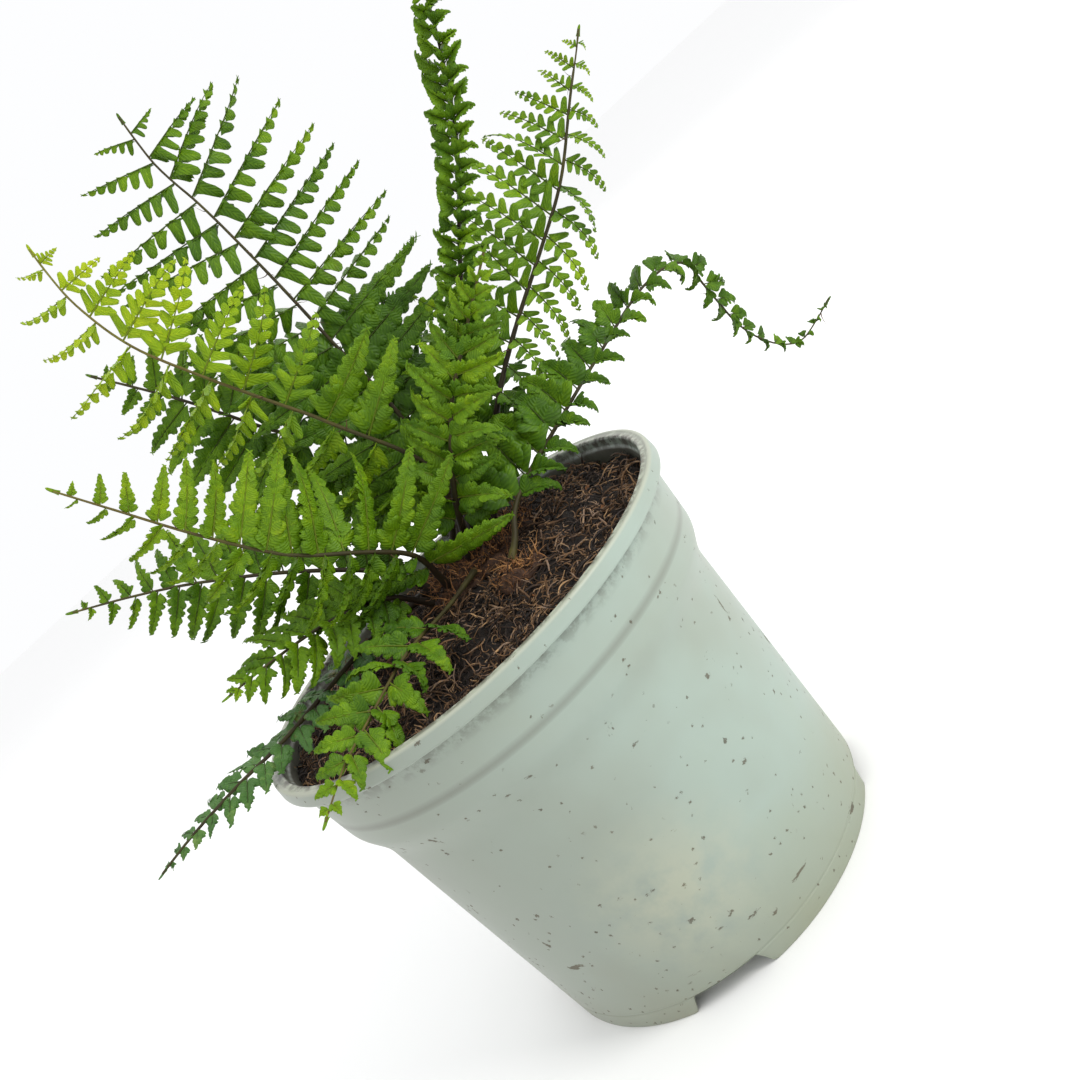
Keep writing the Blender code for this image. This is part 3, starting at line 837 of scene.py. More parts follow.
def readStem(node):
    # the middle line and thickness of a packed stem, ring by ring from the crown up
    mesh = mergedCopy(node, node + "Line")
    spots = [vertex.co.copy() for vertex in mesh.vertices]
    bpy.data.meshes.remove(mesh)
    crownLow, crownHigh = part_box("crown_main")
    crown = (crownLow + crownHigh) / 2
    here = max(spots, key=lambda spot: (spot - crown).length)
    line = []
    while spots:
        nearest = min(spots, key=lambda spot: (spot - here).length)
        ring = [spot for spot in spots if (spot - nearest).length < stemSettings["ringSpan"]]
        spots = [spot for spot in spots if (spot - nearest).length >= stemSettings["ringSpan"]]
        middle = sum(ring, Vector()) / len(ring)
        line.append((middle, sum((spot - middle).length for spot in ring) / len(ring)))
        here = middle
    line.reverse()
    return line


def makeStemMaterial():
    material, tree, shader = newMaterial("fernStem", Roughness=0.6, Specular_IOR_Level=0.3)
    tone = addNode(tree, "ShaderNodeAttribute", attribute_name="tone").outputs["Fac"]
    coords = objectCoords(tree)
    speck, streak = noiseAt(tree, coords, 420.0, 4.0, 0.65), noiseAt(tree, coords, 120.0, 2.0)
    mixed = plus(tree, tone, ramp(tree, streak, 0.3, 0.7, -0.10, 0.10))
    colours = colourStrip(tree, mixed, (
        (0.0, (0.010, 0.006, 0.004)), (1.0, (0.23, 0.24, 0.030)), (0.22, (0.022, 0.014, 0.006)),
        (0.45, (0.045, 0.040, 0.009)), (0.7, (0.12, 0.095, 0.018))))
    base = mixColour(tree, ramp(tree, speck, 0.56, 0.72, 0.0, 0.6), colours, (0.05, 0.026, 0.012))
    tree.links.new(base, shader.inputs["Base Color"])
    tree.links.new(bump(tree, speck, 0.5, 0.0002), shader.inputs["Normal"])
    return material


def makeStem(frond, line, values, material):
    # values: tone at the foot and the tip, and how hairy
    path = smoothCurve([middle for middle, _ in line], stemSettings["samples"])
    girth, tones, along = [], [], []
    for i in range(len(path)):
        share = i / (len(path) - 1)
        radius = line[min(int(share * (len(line) - 1) + 0.5), len(line) - 1)][1]
        swell = 1.0 + (stemSettings["baseSwell"] - 1.0) * math.exp(-share / stemSettings["swellReach"])
        wobble = 1.0 + 0.06 * noise.noise(path[i] * 260.0)
        girth.append(radius * swell * wobble * values.get("thick", 1.0))
        tones.append(values["stemTone"][0] + (values["stemTone"][1] - values["stemTone"][0]) * share ** 0.8)
        along.append(share)
    links = [(i, i + 1) for i in range(len(path) - 1)]
    source = meshObject("stemLine", [tuple(p) for p in path], [], edges=links)
    giveAttribute(source.data, "girth", "FLOAT", girth)
    giveAttribute(source.data, "tone", "FLOAT", tones)
    giveAttribute(source.data, "cover", "FLOAT", [values["hair"] * (0.25 + math.exp(-share / 0.12))
                                                  for share in along])
    tube = growMesh(source, tubeTree, "stem." + frond, Sides=stemSettings["tubeSides"], Thickness=1.0,
                    Material=material)
    hair = growMesh(tube, scatterTree, "stemHair." + frond, Bits=hairStock,
                    Density=stemSettings["hairDensity"], Smallest=0.3, Largest=0.9, Tilt=0.7, Lift=0.0,
                    Seed=values["seed"], Material=hairMaterial)
    bpy.data.objects.remove(source, do_unlink=True)
    finishPiece(tube, "stem", "stem_" + frond)
    if len(hair.data.polygons):
        finishPiece(hair, "stem", "stem_" + frond)
    else:
        bpy.data.objects.remove(hair, do_unlink=True)
    return path


lobeSettings = {
    "rows": (0.0, 0.3, 0.62, 0.88, 1.0),
    # the first family is narrow above a broad foot, the second broad and rounded
    "halfWidths": ((0.50, 0.37, 0.34, 0.25, 0.08), (0.50, 0.50, 0.45, 0.33, 0.12)),
    "columns": (-1.0, -0.5, 0.0, 0.5, 1.0),
    "thickness": 0.028,
    # each kind: how cupped, how far the tip curls, sideways bend, unevenness, groove
    "kinds": ((0.08, 0.10, 0.06, 0.03, 0.05), (0.13, 0.20, -0.04, 0.04, 0.06), (0.05, 0.04, 0.08, 0.03, 0.05),
              (0.16, 0.30, 0.02, 0.06, 0.07), (0.10, 0.10, 0.05, 0.07, 0.06), (0.15, 0.22, 0.08, 0.08, 0.06)),
}


def makeLobes(values):
    draws = random.Random(41)
    made = []
    for index, (cup, curl, bend, uneven, groove) in enumerate(values["kinds"]):
        grid = []
        outline = values["halfWidths"][index * 2 // len(values["kinds"])]
        for t, half in zip(values["rows"], outline):
            row = []
            for c in values["columns"]:
                edge = half * (1.0 + (draws.uniform(-uneven, uneven) * 2 if abs(c) == 1.0 else 0.0))
                x = c * edge + bend * t * t
                dip = groove * max(0.0, 1.0 - abs(c) * 2.5) * (1 - t)
                z = -cup * c * c * (0.6 + 0.4 * t) - curl * t * t - dip
                row.append((x, t, z))
            grid.append(row)
        rows, columns = len(values["rows"]), len(values["columns"])
        vertices = [point for row in grid for point in row]
        lower = len(vertices)
        vertices += [(x, y, z - values["thickness"]) for x, y, z in vertices]
        spots = [(i, j) for i in range(rows) for j in range(columns)]
        faces = []
        for i in range(rows - 1):
            for j in range(columns - 1):
                a, b = i * columns + j, i * columns + j + 1
                c, d = b + columns, a + columns
                faces.append((a, b, c, d))
                faces.append((lower + d, lower + c, lower + b, lower + a))
        rim = ([(0, j) for j in range(columns)] + [(i, columns - 1) for i in range(1, rows)]
               + [(rows - 1, j) for j in range(columns - 2, -1, -1)] + [(i, 0) for i in range(rows - 2, 0, -1)])
        for (i, j), (k, m) in zip(rim, rim[1:] + rim[:1]):
            a, b = i * columns + j, k * columns + m
            faces.append((b, a, lower + a, lower + b))
        obj = meshObject("lobe" + str(index), vertices, faces)
        obj.data.set_sharp_from_angle(angle=math.radians(55))
        layer = obj.data.uv_layers.new(name="UVMap")
        for loop in obj.data.loops:
            i, j = spots[loop.vertex_index % lower]
            layer.data[loop.index].uv = ((values["columns"][j] + 1) / 2, values["rows"][i])
        made.append(obj)
    return made


def makeBladeTree():
    # lobes on the marked points and thin ribs along the edges, as one leaf
    tree, first, last = newGeoTree("fernLeaf", (
        ("Lobes", "Collection", None), ("Sides", "Int", 5), ("Thickness", "Float", 1.0),
        ("Material", "Material", None)))
    parts = addNode(tree, "GeometryNodeSeparateGeometry",
                    {"Geometry": first.outputs["Geometry"], "Selection": namedField(tree, "isLobe", "BOOLEAN")},
                    domain="POINT")
    lobes = addNode(tree, "GeometryNodeCollectionInfo", {"Collection": first.outputs["Lobes"],
                                                         "Separate Children": True, "Reset Children": True})
    turn = addNode(tree, "FunctionNodeAxesToRotation", {0: namedField(tree, "along", "FLOAT_VECTOR"),
                                                        1: namedField(tree, "outward", "FLOAT_VECTOR")},
                   primary_axis="Y", secondary_axis="Z")
    size = addNode(tree, "ShaderNodeCombineXYZ", {0: namedField(tree, "width"), 1: namedField(tree, "length"),
                                                  2: namedField(tree, "depth")})
    placed = addNode(tree, "GeometryNodeInstanceOnPoints",
                     {"Points": parts.outputs[0], "Instance": lobes.outputs[0], "Pick Instance": True,
                      "Rotation": turn.outputs[0], "Scale": size.outputs[0],
                      "Instance Index": namedField(tree, "pick", "INT")})
    tube = addTube(tree, parts.outputs[1], first.outputs["Sides"], first.outputs["Thickness"])
    both = addNode(tree, "GeometryNodeJoinGeometry")
    tree.links.new(tube, both.inputs[0])
    tree.links.new(placed.outputs[0], both.inputs[0])
    smooth = addNode(tree, "GeometryNodeSetShadeSmooth", {0: both.outputs[0]})
    closeTree(tree, smooth.outputs[0], first.outputs["Material"], last)
    return tree


# one dictionary per frond; left and right say what differs on that side
# open: angle of the leaflets to the stem, low and high; lift: out of the frond's own plane; roll: turn about
# the leaflet's midrib; fold: how far its two rows of lobes close; sag and curl: how its end droops and curls
frondSettings = {
    "tall_left": {
        "face": (0.0, -1.0, 0.25), "start": 0.14, "pairs": 17, "slot": "leaf_dark", "stemTone": (0.15, 0.5),
        "hair": 0.5, "seed": 101, "tone": 0.4, "toneTip": 0.12, "lobeGap": 1.0, "count": 6.6, "crowd": 1.0,
        "taper": (4.5, 0.7), "lean": 82, "lobeSize": 1.12, "broadBelow": 0.42, "flatBelow": 0.42,
        "sweep": 0.04, "thick": 0.8,
        "left": {"reach": 0.045, "open": (84, 74), "lift": 0.1, "roll": 5, "fold": 62, "sag": 0.3,
                 "curl": 0.35, "upper": 0.9, "lower": 1.05, "foldUp": -100, "foldDown": 6},
        "right": {"reach": 0.048, "open": (86, 74), "lift": 0.1, "roll": -5, "fold": 62, "sag": 0.1,
                  "curl": 0.25, "upper": 0.9, "lower": 1.1, "foldUp": -100, "foldDown": 4},
    },
    "bright_left": {
        "face": (-0.3, -1.0, 0.3), "start": 0.1, "pairs": 12, "slot": "leaf_bright", "stemTone": (0.2, 0.85),
        "hair": 0.5, "seed": 102, "tone": 0.51, "toneTip": 0.42, "lobeGap": 0.98, "count": 7.4, "crowd": 1.2,
        "taper": (3.0, 0.7), "lobeSize": 1.1, "sweep": 0.05, "broadBelow": 0.3, "thick": 0.75,
        "left": {"reach": 0.032, "open": (88, 80), "lift": -0.05, "roll": 50, "fold": 55, "sag": 1.3,
                 "curl": 0.9, "upper": 0.7, "lower": 1.0},
        "right": {"reach": 0.035, "open": (92, 82), "lift": 0.15, "roll": 0, "fold": 10, "sag": 0.15,
                  "curl": 0.55},
    },
    "dark_left": {
        "face": (-0.1, -1.0, 0.3), "start": 0.14, "pairs": 15, "slot": "leaf_dark", "stemTone": (0.12, 0.4),
        "hair": 0.4, "seed": 103, "tone": 0.41, "toneTip": 0.14, "lobeGap": 1.06, "count": 6.8, "crowd": 1.0,
        "lobeSize": 0.9, "broadBelow": 2.0, "belly": 1.5, "wild": 16,
        "left": {"reach": 0.036, "open": (84, 70), "lift": 0.0, "roll": 20, "fold": 25, "sag": 0.45,
                 "curl": 0.4},
        "right": {"reach": 0.038, "open": (84, 70), "lift": 0.1, "roll": -20, "fold": 25, "sag": 0.15,
                  "curl": 0.3},
    },
    "low_left": {
        "face": (-0.3, -1.0, 0.35), "start": 0.06, "pairs": 15, "slot": "leaf_bright",
        "stemTone": (0.15, 0.7), "hair": 0.4, "seed": 104, "tone": 0.5, "toneTip": 0.22, "lobeGap": 1.1,
        "count": 8.2, "crowd": 1.0, "lobeSize": 0.72, "broadBelow": 2.0, "belly": 1.8, "thick": 0.75,
        "wild": 14,
        "left": {"reach": 0.025, "open": (84, 70), "lift": -0.05, "roll": 40, "fold": 45, "sag": 0.8,
                 "curl": 0.8, "lowBoost": 0.55},
        "right": {"reach": 0.03, "open": (84, 70), "lift": 0.12, "roll": 0, "fold": 14, "sag": 0.2,
                  "curl": 0.4, "lowBoost": 0.45},
    },
    "low_left_behind": {
        "face": (-0.3, -1.0, 0.7), "start": 0.1, "pairs": 15, "slot": "leaf_dark", "stemTone": (0.12, 0.5),
        "hair": 0.4, "seed": 105, "tone": 0.44, "toneTip": 0.12, "lobeGap": 1.08, "count": 7.4, "crowd": 1.0,
        "lobeSize": 0.8, "broadBelow": 2.0, "belly": 1.6, "thick": 0.8, "wild": 16,
        "left": {"reach": 0.024, "open": (84, 66), "lift": -0.1, "roll": 35, "fold": 35, "sag": 0.8,
                 "curl": 0.6},
        "right": {"reach": 0.025, "open": (84, 66), "lift": 0.0, "roll": -10, "fold": 25, "sag": 0.3,
                  "curl": 0.5},
    },
    "tuft_left": {
        "face": (-0.3, -0.7, 1.0), "start": 0.12, "pairs": 11, "slot": "leaf_dark", "stemTone": (0.12, 0.5),
        "hair": 0.4, "seed": 106, "tone": 0.46, "toneTip": 0.15, "lobeGap": 1.05, "count": 6.4,
        "lobeSize": 0.95, "broadBelow": 2.0, "belly": 1.5, "wild": 20, "thick": 0.8,
        "left": {"reach": 0.02, "open": (76, 46), "lift": -0.1, "roll": 20, "fold": 35, "sag": 0.6,
                 "curl": 0.6},
        "right": {"reach": 0.02, "open": (76, 46), "lift": 0.0, "roll": -10, "fold": 30, "sag": 0.3,
                  "curl": 0.5},
    },
    "old_left": {
        "face": (0.0, -0.45, 1.0), "start": 0.26, "pairs": 13, "slot": "leaf_old", "stemTone": (0.2, 0.4),
        "hair": 0.2, "seed": 107, "tone": 0.36, "toneTip": 0.1, "lobeGap": 1.18, "count": 3.4,
        "lobeSize": 1.1, "broadBelow": 2.0, "belly": 1.8,
        "left": {"reach": 0.0125, "open": (70, 45), "lift": -0.05, "roll": 0, "fold": 12, "sag": 0.15,
                 "curl": 0.2},
        "right": {"reach": 0.0125, "open": (70, 45), "lift": -0.05, "roll": 0, "fold": 12, "sag": 0.15,
                  "curl": 0.2},
    },
    "old_front": {
        "face": (0.3, -0.6, 1.0), "start": 0.3, "pairs": 9, "slot": "leaf_bright", "stemTone": (0.3, 0.7),
        "hair": 0.2, "seed": 108, "tone": 0.44, "toneTip": 0.2, "lobeGap": 1.1, "count": 4.6, "lobeSize": 1.1,
        "broadBelow": 2.0, "belly": 1.5, "thick": 0.65, "wild": 16,
        "left": {"reach": 0.017, "open": (72, 46), "lift": 0.0, "roll": 15, "fold": 25, "sag": 0.4,
                 "curl": 0.5},
        "right": {"reach": 0.017, "open": (72, 46), "lift": 0.1, "roll": -15, "fold": 25, "sag": 0.3,
                  "curl": 0.5},
    },
    "upright": {
        "face": (-0.5, -1.0, 0.2), "start": 0.18, "pairs": 30, "slot": "leaf_dark", "stemTone": (0.08, 0.3),
        "hair": 1.2, "seed": 109, "tone": 0.43, "toneTip": 0.16, "lobeGap": 1.05, "count": 3.6,
        "lobeSize": 2.0, "crowd": 1.0, "taper": (4.0, 0.7), "broadBelow": 2.0, "wild": 16,
        "left": {"reach": 0.0092, "open": (66, 50), "lift": 0.7, "roll": 20, "fold": 55, "sag": 0.3,
                 "curl": 1.4},
        "right": {"reach": 0.0088, "open": (66, 50), "lift": 0.7, "roll": -20, "fold": 55, "sag": 0.3,
                  "curl": 1.4},
    },
    "right_high": {
        "face": (-0.2, -1.0, 0.3), "start": 0.18, "pairs": 16, "slot": "leaf_dark", "stemTone": (0.1, 0.5),
        "hair": 0.5, "seed": 110, "tone": 0.48, "toneTip": 0.16, "lobeGap": 0.95, "count": 7.2,
        "lobeSize": 0.95, "broadBelow": 0.12, "wild": 14,
        "left": {"reach": 0.038, "open": (80, 62), "lift": 0.1, "roll": 0, "fold": 22, "sag": 0.25,
                 "curl": 0.6},
        "right": {"reach": 0.026, "open": (118, 106), "lift": 0.35, "roll": -30, "fold": 20, "sag": 0.7,
                  "curl": 0.9, "lower": 1.2},
    },
    "right_low": {
        "face": (0.0, -0.7, 1.0), "start": 0.09, "pairs": 24, "slot": "leaf_dark", "stemTone": (0.42, 0.36),
        "hair": 0.2, "seed": 111, "tone": 0.43, "toneTip": 0.04, "lobeGap": 1.08, "count": 4.0,
        "lobeSize": 1.6, "broadBelow": 2.0, "thick": 0.65, "taper": (1.9, 0.75), "wild": 18,
        "left": {"reach": 0.0105, "open": (72, 42), "lift": 0.45, "roll": 0, "fold": 30, "sag": 0.9,
                 "curl": 1.0, "lowBoost": 3.2},
        "right": {"reach": 0.0095, "open": (66, 40), "lift": 0.2, "roll": -20, "fold": 45, "sag": 0.5,
                  "curl": 1.4, "lowBoost": 1.0},
    },
    "small_middle": {
        "face": (-0.4, -1.0, 0.3), "start": 0.12, "pairs": 14, "slot": "leaf_bright", "stemTone": (0.12, 0.6),
        "hair": 0.4, "seed": 112, "tone": 0.5, "toneTip": 0.15, "lobeGap": 1.06, "count": 4.8,
        "lobeSize": 1.2, "broadBelow": 2.0, "wild": 18,
        "left": {"reach": 0.0175, "open": (70, 44), "lift": 0.3, "roll": 0, "fold": 35, "sag": 0.3,
                 "curl": 0.9, "lowBoost": 0.4},
        "right": {"reach": 0.0175, "open": (70, 44), "lift": 0.3, "roll": 0, "fold": 35, "sag": 0.4,
                  "curl": 0.9, "lowBoost": 0.4},
    },
    "dark_back": {
        "face": (-0.2, -1.0, 0.3), "start": 0.22, "pairs": 12, "slot": "leaf_dark", "stemTone": (0.1, 0.3),
        "hair": 0.4, "seed": 113, "tone": 0.24, "toneTip": 0.08, "lobeGap": 0.85, "count": 7.0,
        "lobeSize": 1.0, "broadBelow": 0.2,
        "left": {"reach": 0.032, "open": (84, 66), "lift": 0.0, "roll": 20, "fold": 30, "sag": 0.3,
                 "curl": 0.5},
        "right": {"reach": 0.026, "open": (84, 66), "lift": 0.1, "roll": -20, "fold": 30, "sag": 0.3,
                  "curl": 0.4},
    },
}


leafletSettings = {
    "steps": 16, "sagPull": 1.1, "curlPull": 2.6, "twistRate": 3,
    "ribGirth": 0.00034, "ribTaper": 0.72, "ribDrop": 0.00012,
    "crowding": 1.22, "crowdingSlope": 0.22,
    "longestLobe": 0.0092, "shortestLobe": 0.0007, "lobeBase": 0.0012, "lobeGrowth": 0.20,
    "webWidth": 1.35, "webLength": 0.66, "webDrop": 0.00008,
}


def reachShare(along, taper):
    blunt, power = taper
    return max(0.13, min(1.0, 0.84 + 1.6 * along) * min(1.0, (blunt * (1.0 - along)) ** power))


class LeafPoints:
    # gathers the points and edges that the leaf tree turns into lobes and ribs

    def __init__(self):
        self.places, self.edges = [], []
        self.fields = {name: [] for name in ("isLobe", "along", "outward", "width", "length", "depth", "pick",
                                             "girth", "tone", "ribMark")}

    def add(self, place, **values):
        still = {"isLobe": False, "along": (0, 1, 0), "outward": (0, 0, 1), "width": 0.0, "length": 0.0,
                 "depth": 0.0, "pick": 0, "girth": 0.0, "tone": 0.5, "ribMark": 0.0}
        still.update(values)
        self.places.append(tuple(place))
        for name, value in still.items():
            self.fields[name].append(value)
        return len(self.places) - 1

    def toObject(self, name):
        obj = meshObject(name, self.places, [], edges=self.edges)
        kinds = {"isLobe": "BOOLEAN", "along": "FLOAT_VECTOR", "outward": "FLOAT_VECTOR", "pick": "INT"}
        for field, values in self.fields.items():
            giveAttribute(obj.data, field, kinds.get(field, "FLOAT"), values)
        return obj


def growLeaflet(points, draws, frond, side, root, heading, upward, stemWay, reach, tone, along):
    # one leaflet: its midrib, then two rows of lobes along it
    shape = leafletSettings
    steps = shape["steps"]
    place, way = root.copy(), heading.normalized()
    normal = (upward - way * upward.dot(way)).normalized()
    towardTip = (stemWay - way * stemWay.dot(way)).normalized()
    hand = 1.0 if normal.cross(way).dot(towardTip) > 0 else -1.0
    roll = math.radians(side["roll"] + draws.gauss(0, frond.get("wild", 9)))
    normal = Matrix.Rotation(roll * hand, 3, way) @ normal
    sag, curl = side["sag"] * draws.uniform(0.6, 1.3), side["curl"] * draws.uniform(0.5, 1.4)
    sweep, twist = frond.get("sweep", 0.12) * draws.uniform(0.3, 1.5), math.radians(draws.gauss(0, 14))
    rib, ways, normals = [place.copy()], [way.copy()], [normal.copy()]
    for k in range(steps):
        u = (k + 1) / steps
        turn = (sagWay * sag * shape["sagPull"] * u + stemWay * sweep * u
                - normal * curl * shape["curlPull"] * u ** 2)
        way = (way + (turn - way * turn.dot(way)) / steps).normalized()
        normal = (normal - way * normal.dot(way)).normalized()
        normal = Matrix.Rotation(twist * u / steps * shape["twistRate"], 3, way) @ normal
        place = place + way * reach / steps
        rib.append(place.copy())
        ways.append(way.copy())
        normals.append(normal.copy())
    last = None
    for k, spot in enumerate(rib):
        u = k / steps
        girth = (shape["ribGirth"] * (1.0 - shape["ribTaper"] * u)) * min(1.0, 0.55 + reach / 0.05)
        index = points.add(spot - normals[k] * shape["ribDrop"], girth=girth, tone=tone, ribMark=1.0)
        if last is not None:
            points.edges.append((last, index))
        last = index
    count = max(3, int(round((1.5 + frond["count"] * (reach / 0.036) ** 0.5) * draws.uniform(0.94, 1.06))))
    narrow = draws.random() < min(1.0, max(0.0, (along - frond.get("broadBelow", -1.0)) / 0.12 + 0.5))
    closed = min(1.0, max(0.0, (along - frond.get("flatBelow", -1.0)) / 0.2 + 0.5))
    for row in (1.0, -1.0):
        fold = side.get("foldUp", side["fold"]) if row > 0 else side.get("foldDown", side["fold"])
        fold = math.radians(fold * closed + 8.0 * (1.0 - closed) + draws.gauss(0, 5))
        share = side.get("upper", 1.0) if row > 0 else side.get("lower", 1.0)
        for k in range(count):
            x = (k + 0.55 + (0.22 if row < 0 else 0.0)) / (count + 0.4)
            u = 1.0 - (1.0 - x) ** shape["crowding"]
            spacing = reach * shape["crowding"] * (1.0 - x) ** shape["crowdingSlope"] / (count + 0.4)
            at = min(u * steps, steps - 0.001)
            i, t = int(at), at - int(at)
            spot = rib[i].lerp(rib[i + 1], t)
            w = ways[i].lerp(ways[i + 1], t).normalized()
            n = normals[i].lerp(normals[i + 1], t).normalized()
            across = n.cross(w).normalized() * hand * row
            lean = math.radians(frond.get("lean", 66) - 26 * u + draws.gauss(0, 3.5))
            closing = fold + math.radians(draws.gauss(0, 6))
            out = across * math.cos(closing) + n * math.sin(closing)
            way = (w * math.cos(lean) + out * math.sin(lean)).normalized()
            face = (n * math.cos(closing) - across * math.sin(closing))
            face = (face - way * face.dot(way)).normalized()
            face = Matrix.Rotation(math.radians(draws.gauss(0, 9)), 3, way) @ face
            full = (shape["lobeBase"] + shape["lobeGrowth"] * reach) * frond.get("lobeSize", 1.0)
            full = min(shape["longestLobe"], full)
            full *= (1.0 - u ** frond.get("belly", 1.0)) ** 0.78
            length = full * share * draws.uniform(0.88, 1.1) * (1.12 if k == 0 else 1.0)
            length = max(shape["shortestLobe"], length)
            joined = frond["lobeGap"] + (1.16 - frond["lobeGap"]) * max(0.0, u - 0.5) / 0.5
            width = spacing * joined * draws.uniform(0.94, 1.06)
            points.add(spot, isLobe=True, along=tuple(way), outward=tuple(face), width=width, length=length,
                       depth=length * 0.6 + width * 0.6, pick=draws.randrange(3) + (0 if narrow else 3),
                       tone=tone + 0.10 * u + draws.gauss(0, 0.03))
            if not narrow:
                # a shorter, wider lobe between two neighbours joins them into one blade
                points.add(spot + w * spacing * 0.5 - n * shape["webDrop"], isLobe=True, along=tuple(way),
                           outward=tuple(face), width=spacing * shape["webWidth"],
                           length=length * shape["webLength"],
                           depth=length * 0.6 + width * 0.6, pick=4, tone=tone + 0.06 * u)
    tipLength = max(0.0012, 0.05 * reach)
    points.add(rib[-2], isLobe=True, along=tuple(ways[-1]), outward=tuple(normals[-1]), width=tipLength * 0.5,
               length=tipLength, depth=tipLength, pick=0, tone=tone + 0.12)


def makeFrond(name, frond, path, materials, stock):
    draws = random.Random(frond["seed"])
    points = LeafPoints()
    face = Vector(frond["face"]).normalized()
    start, pairs = frond["start"], frond["pairs"]
    span = 0.99 - start
    for i in range(pairs):
        for handedness, sign in (("left", -1.0), ("right", 1.0)):
            side = frond[handedness]
            along = (i + 0.5 + (0.18 if sign > 0 else -0.05)) / (pairs + 0.15)
            spread = 1.0 - (1.0 - along) ** frond.get("crowd", 1.12)
            at = (start + span * spread) * (len(path) - 1)
            k = min(int(at), len(path) - 2)
            spot = path[k].lerp(path[k + 1], at - k)
            tangent = (path[min(k + 2, len(path) - 1)] - path[max(k - 1, 0)]).normalized()
            across = tangent.cross(face).normalized()
            up = across.cross(tangent).normalized()
            low, high = side["open"]
            opening = math.radians(low + (high - low) * along + draws.gauss(0, 4))
            heading = (across * sign * math.sin(opening) + tangent * math.cos(opening)
                       + up * (side["lift"] + draws.gauss(0, frond.get("wild", 9) * 0.009)))
            fullness = reachShare(along, frond.get("taper", (2.2, 0.8)))
            reach = side["reach"] * fullness * draws.uniform(0.92, 1.06)
            reach *= 1.0 + side.get("lowBoost", 0.0) * math.exp(-along / 0.15)
            tone = frond["tone"] + frond["toneTip"] * along + draws.gauss(0, 0.035)
            growLeaflet(points, draws, frond, side, spot, heading, up, tangent, reach, tone, along)
    tangent = (path[-1] - path[-3]).normalized()
    up = (face - tangent * face.dot(tangent)).normalized()
    points.add(path[-2], isLobe=True, along=tuple(tangent), outward=tuple(up), width=0.0016, length=0.0042,
               depth=0.003, pick=2, tone=frond["tone"] + frond["toneTip"])
    source = points.toObject("leafPoints")
    leaf = growMesh(source, bladeTree, "leaf." + name, Lobes=stock, Sides=5, Thickness=1.0,
                    Material=materials[frond["slot"]])
    bpy.data.objects.remove(source, do_unlink=True)
    finishPiece(leaf, frond["slot"], "blade_" + name)
    return len(leaf.data.polygons)


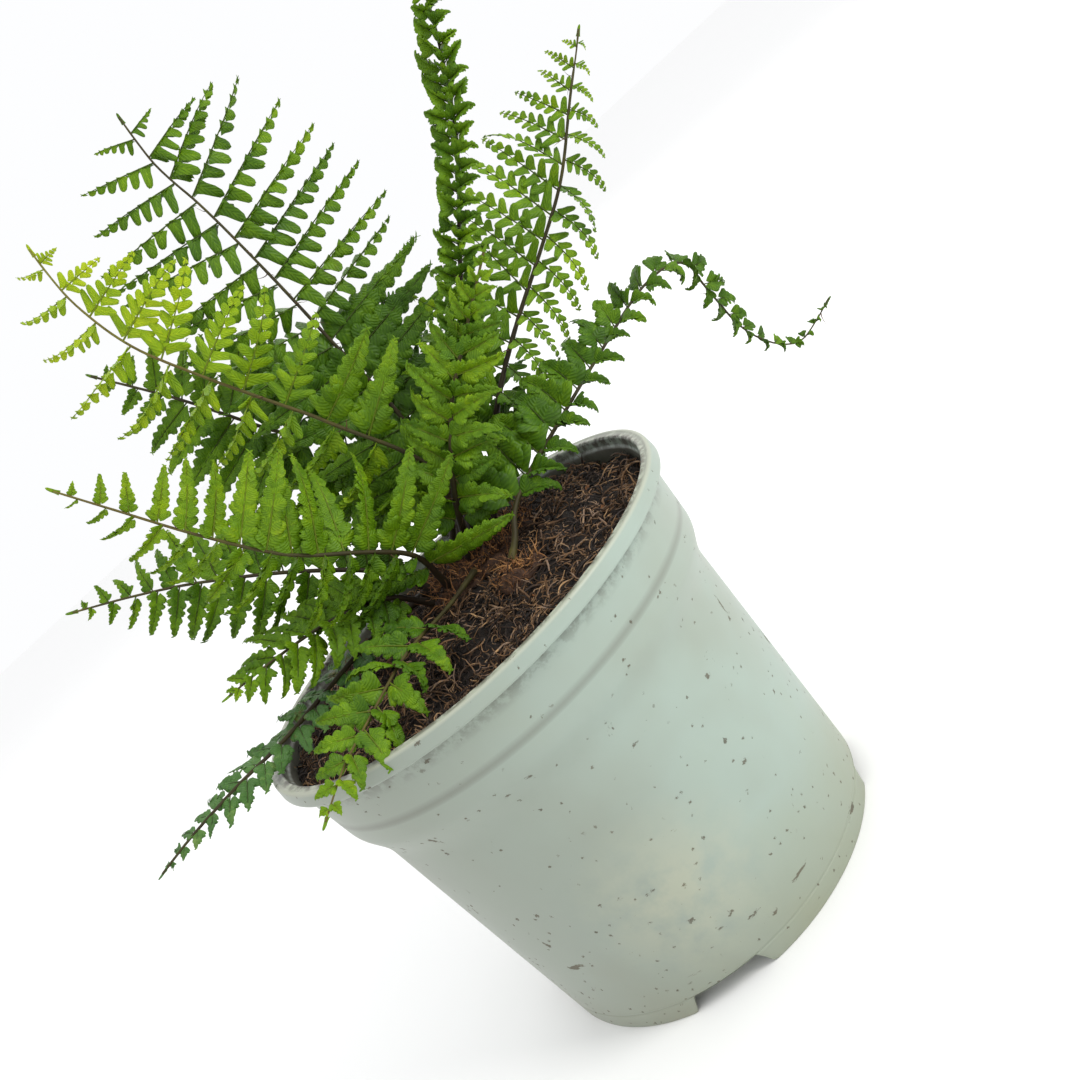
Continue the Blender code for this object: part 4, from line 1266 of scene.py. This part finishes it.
def makeLeafMaterial(name, stops, ribColour, brown, brownAmount):
    material, tree, shader = newMaterial(name, IOR=1.42, Specular_IOR_Level=0.30)
    tone = addNode(tree, "ShaderNodeAttribute", attribute_name="tone").outputs["Fac"]
    rib = addNode(tree, "ShaderNodeAttribute", attribute_name="ribMark").outputs["Fac"]
    coords = objectCoords(tree)
    blotch, fine = noiseAt(tree, coords, 110.0, 3.0, 0.6), noiseAt(tree, coords, 700.0, 3.0, 0.6)
    uv = addNode(tree, "ShaderNodeAttribute", attribute_name="UVMap")
    split = addNode(tree, "ShaderNodeSeparateXYZ", {0: uv.outputs["Vector"]})
    sideways = doMath(tree, "ABSOLUTE", doMath(tree, "SUBTRACT", split.outputs["X"], 0.5))
    # slanting side veins either side of the middle one
    slant = doMath(tree, "SUBTRACT", split.outputs["Y"], times(tree, sideways, 0.9))
    waves = doMath(tree, "SINE", times(tree, slant, 25.0))
    veins = ramp(tree, waves, -1.0, 1.0)
    middle = ramp(tree, sideways, 0.09, 0.0)
    mixed = plus(tree, tone, ramp(tree, blotch, 0.3, 0.7, -0.10, 0.10))
    mixed = plus(tree, mixed, times(tree, ramp(tree, veins, 0.2, 1.0, -0.5, 0.5), 0.05))
    mixed = plus(tree, mixed, times(tree, middle, 0.08))
    colours = colourStrip(tree, mixed, stops)
    base = mixColour(tree, times(tree, rib, 0.8), colours, ribColour)
    browned = times(tree, ramp(tree, noiseAt(tree, coords, 60.0, 4.0, 0.7), 0.62, 0.72), brownAmount)
    base = mixColour(tree, browned, base, brown)
    tree.links.new(base, shader.inputs["Base Color"])
    rough = ramp(tree, fine, 0.3, 0.7, 0.40, 0.58)
    tree.links.new(rough, shader.inputs["Roughness"])
    height = plus(tree, times(tree, veins, 0.7), times(tree, fine, 0.35))
    tree.links.new(bump(tree, height, 0.5, 0.0004), shader.inputs["Normal"])
    shader.inputs["Subsurface Weight"].default_value = 0.10
    shader.inputs["Subsurface Radius"].default_value = (0.0012, 0.0016, 0.0004)
    return material


hairStock = stockOf("hairStock", makeScales("hair", 5, 33))
hairStops = ((0.0, (0.02, 0.011, 0.006)), (1.0, (0.16, 0.08, 0.035)))
hairMaterial = makeToneMaterial("stemHair", hairStops, 0.8, 600.0)
stemMaterial = makeStemMaterial()
bladeTree = makeBladeTree()
lobeStock = stockOf("lobeStock", makeLobes(lobeSettings))
greenStops = ((0.0, (0.006, 0.017, 0.001)), (1.0, (0.40, 0.51, 0.008)), (0.25, (0.019, 0.056, 0.002)),
              (0.45, (0.050, 0.125, 0.002)), (0.65, (0.120, 0.235, 0.003)), (0.85, (0.250, 0.385, 0.004)))
oldStops = ((0.0, (0.018, 0.055, 0.012)), (1.0, (0.34, 0.46, 0.10)), (0.5, (0.07, 0.17, 0.035)))
leafMaterials = {
    "leaf_dark": makeLeafMaterial("leafDark", greenStops, (0.032, 0.042, 0.006), (0.08, 0.055, 0.010), 0.25),
    "leaf_bright": makeLeafMaterial("leafBright", greenStops, (0.12, 0.15, 0.012), (0.22, 0.12, 0.02), 0.15),
    "leaf_old": makeLeafMaterial("leafOld", oldStops, (0.05, 0.07, 0.02), (0.22, 0.10, 0.02), 0.6),
}
total = 0
for frondName, frondValues in frondSettings.items():
    stemPath = makeStem(frondName, readStem("stem_" + frondName), frondValues, stemMaterial)
    total += makeFrond(frondName, frondValues, stemPath, leafMaterials, lobeStock)
print("scene: fronds", total, "faces")

for stock in (fibreStock, thickStock, crumbStock, scaleStock, hairStock, lobeStock):
    clearStock(stock)
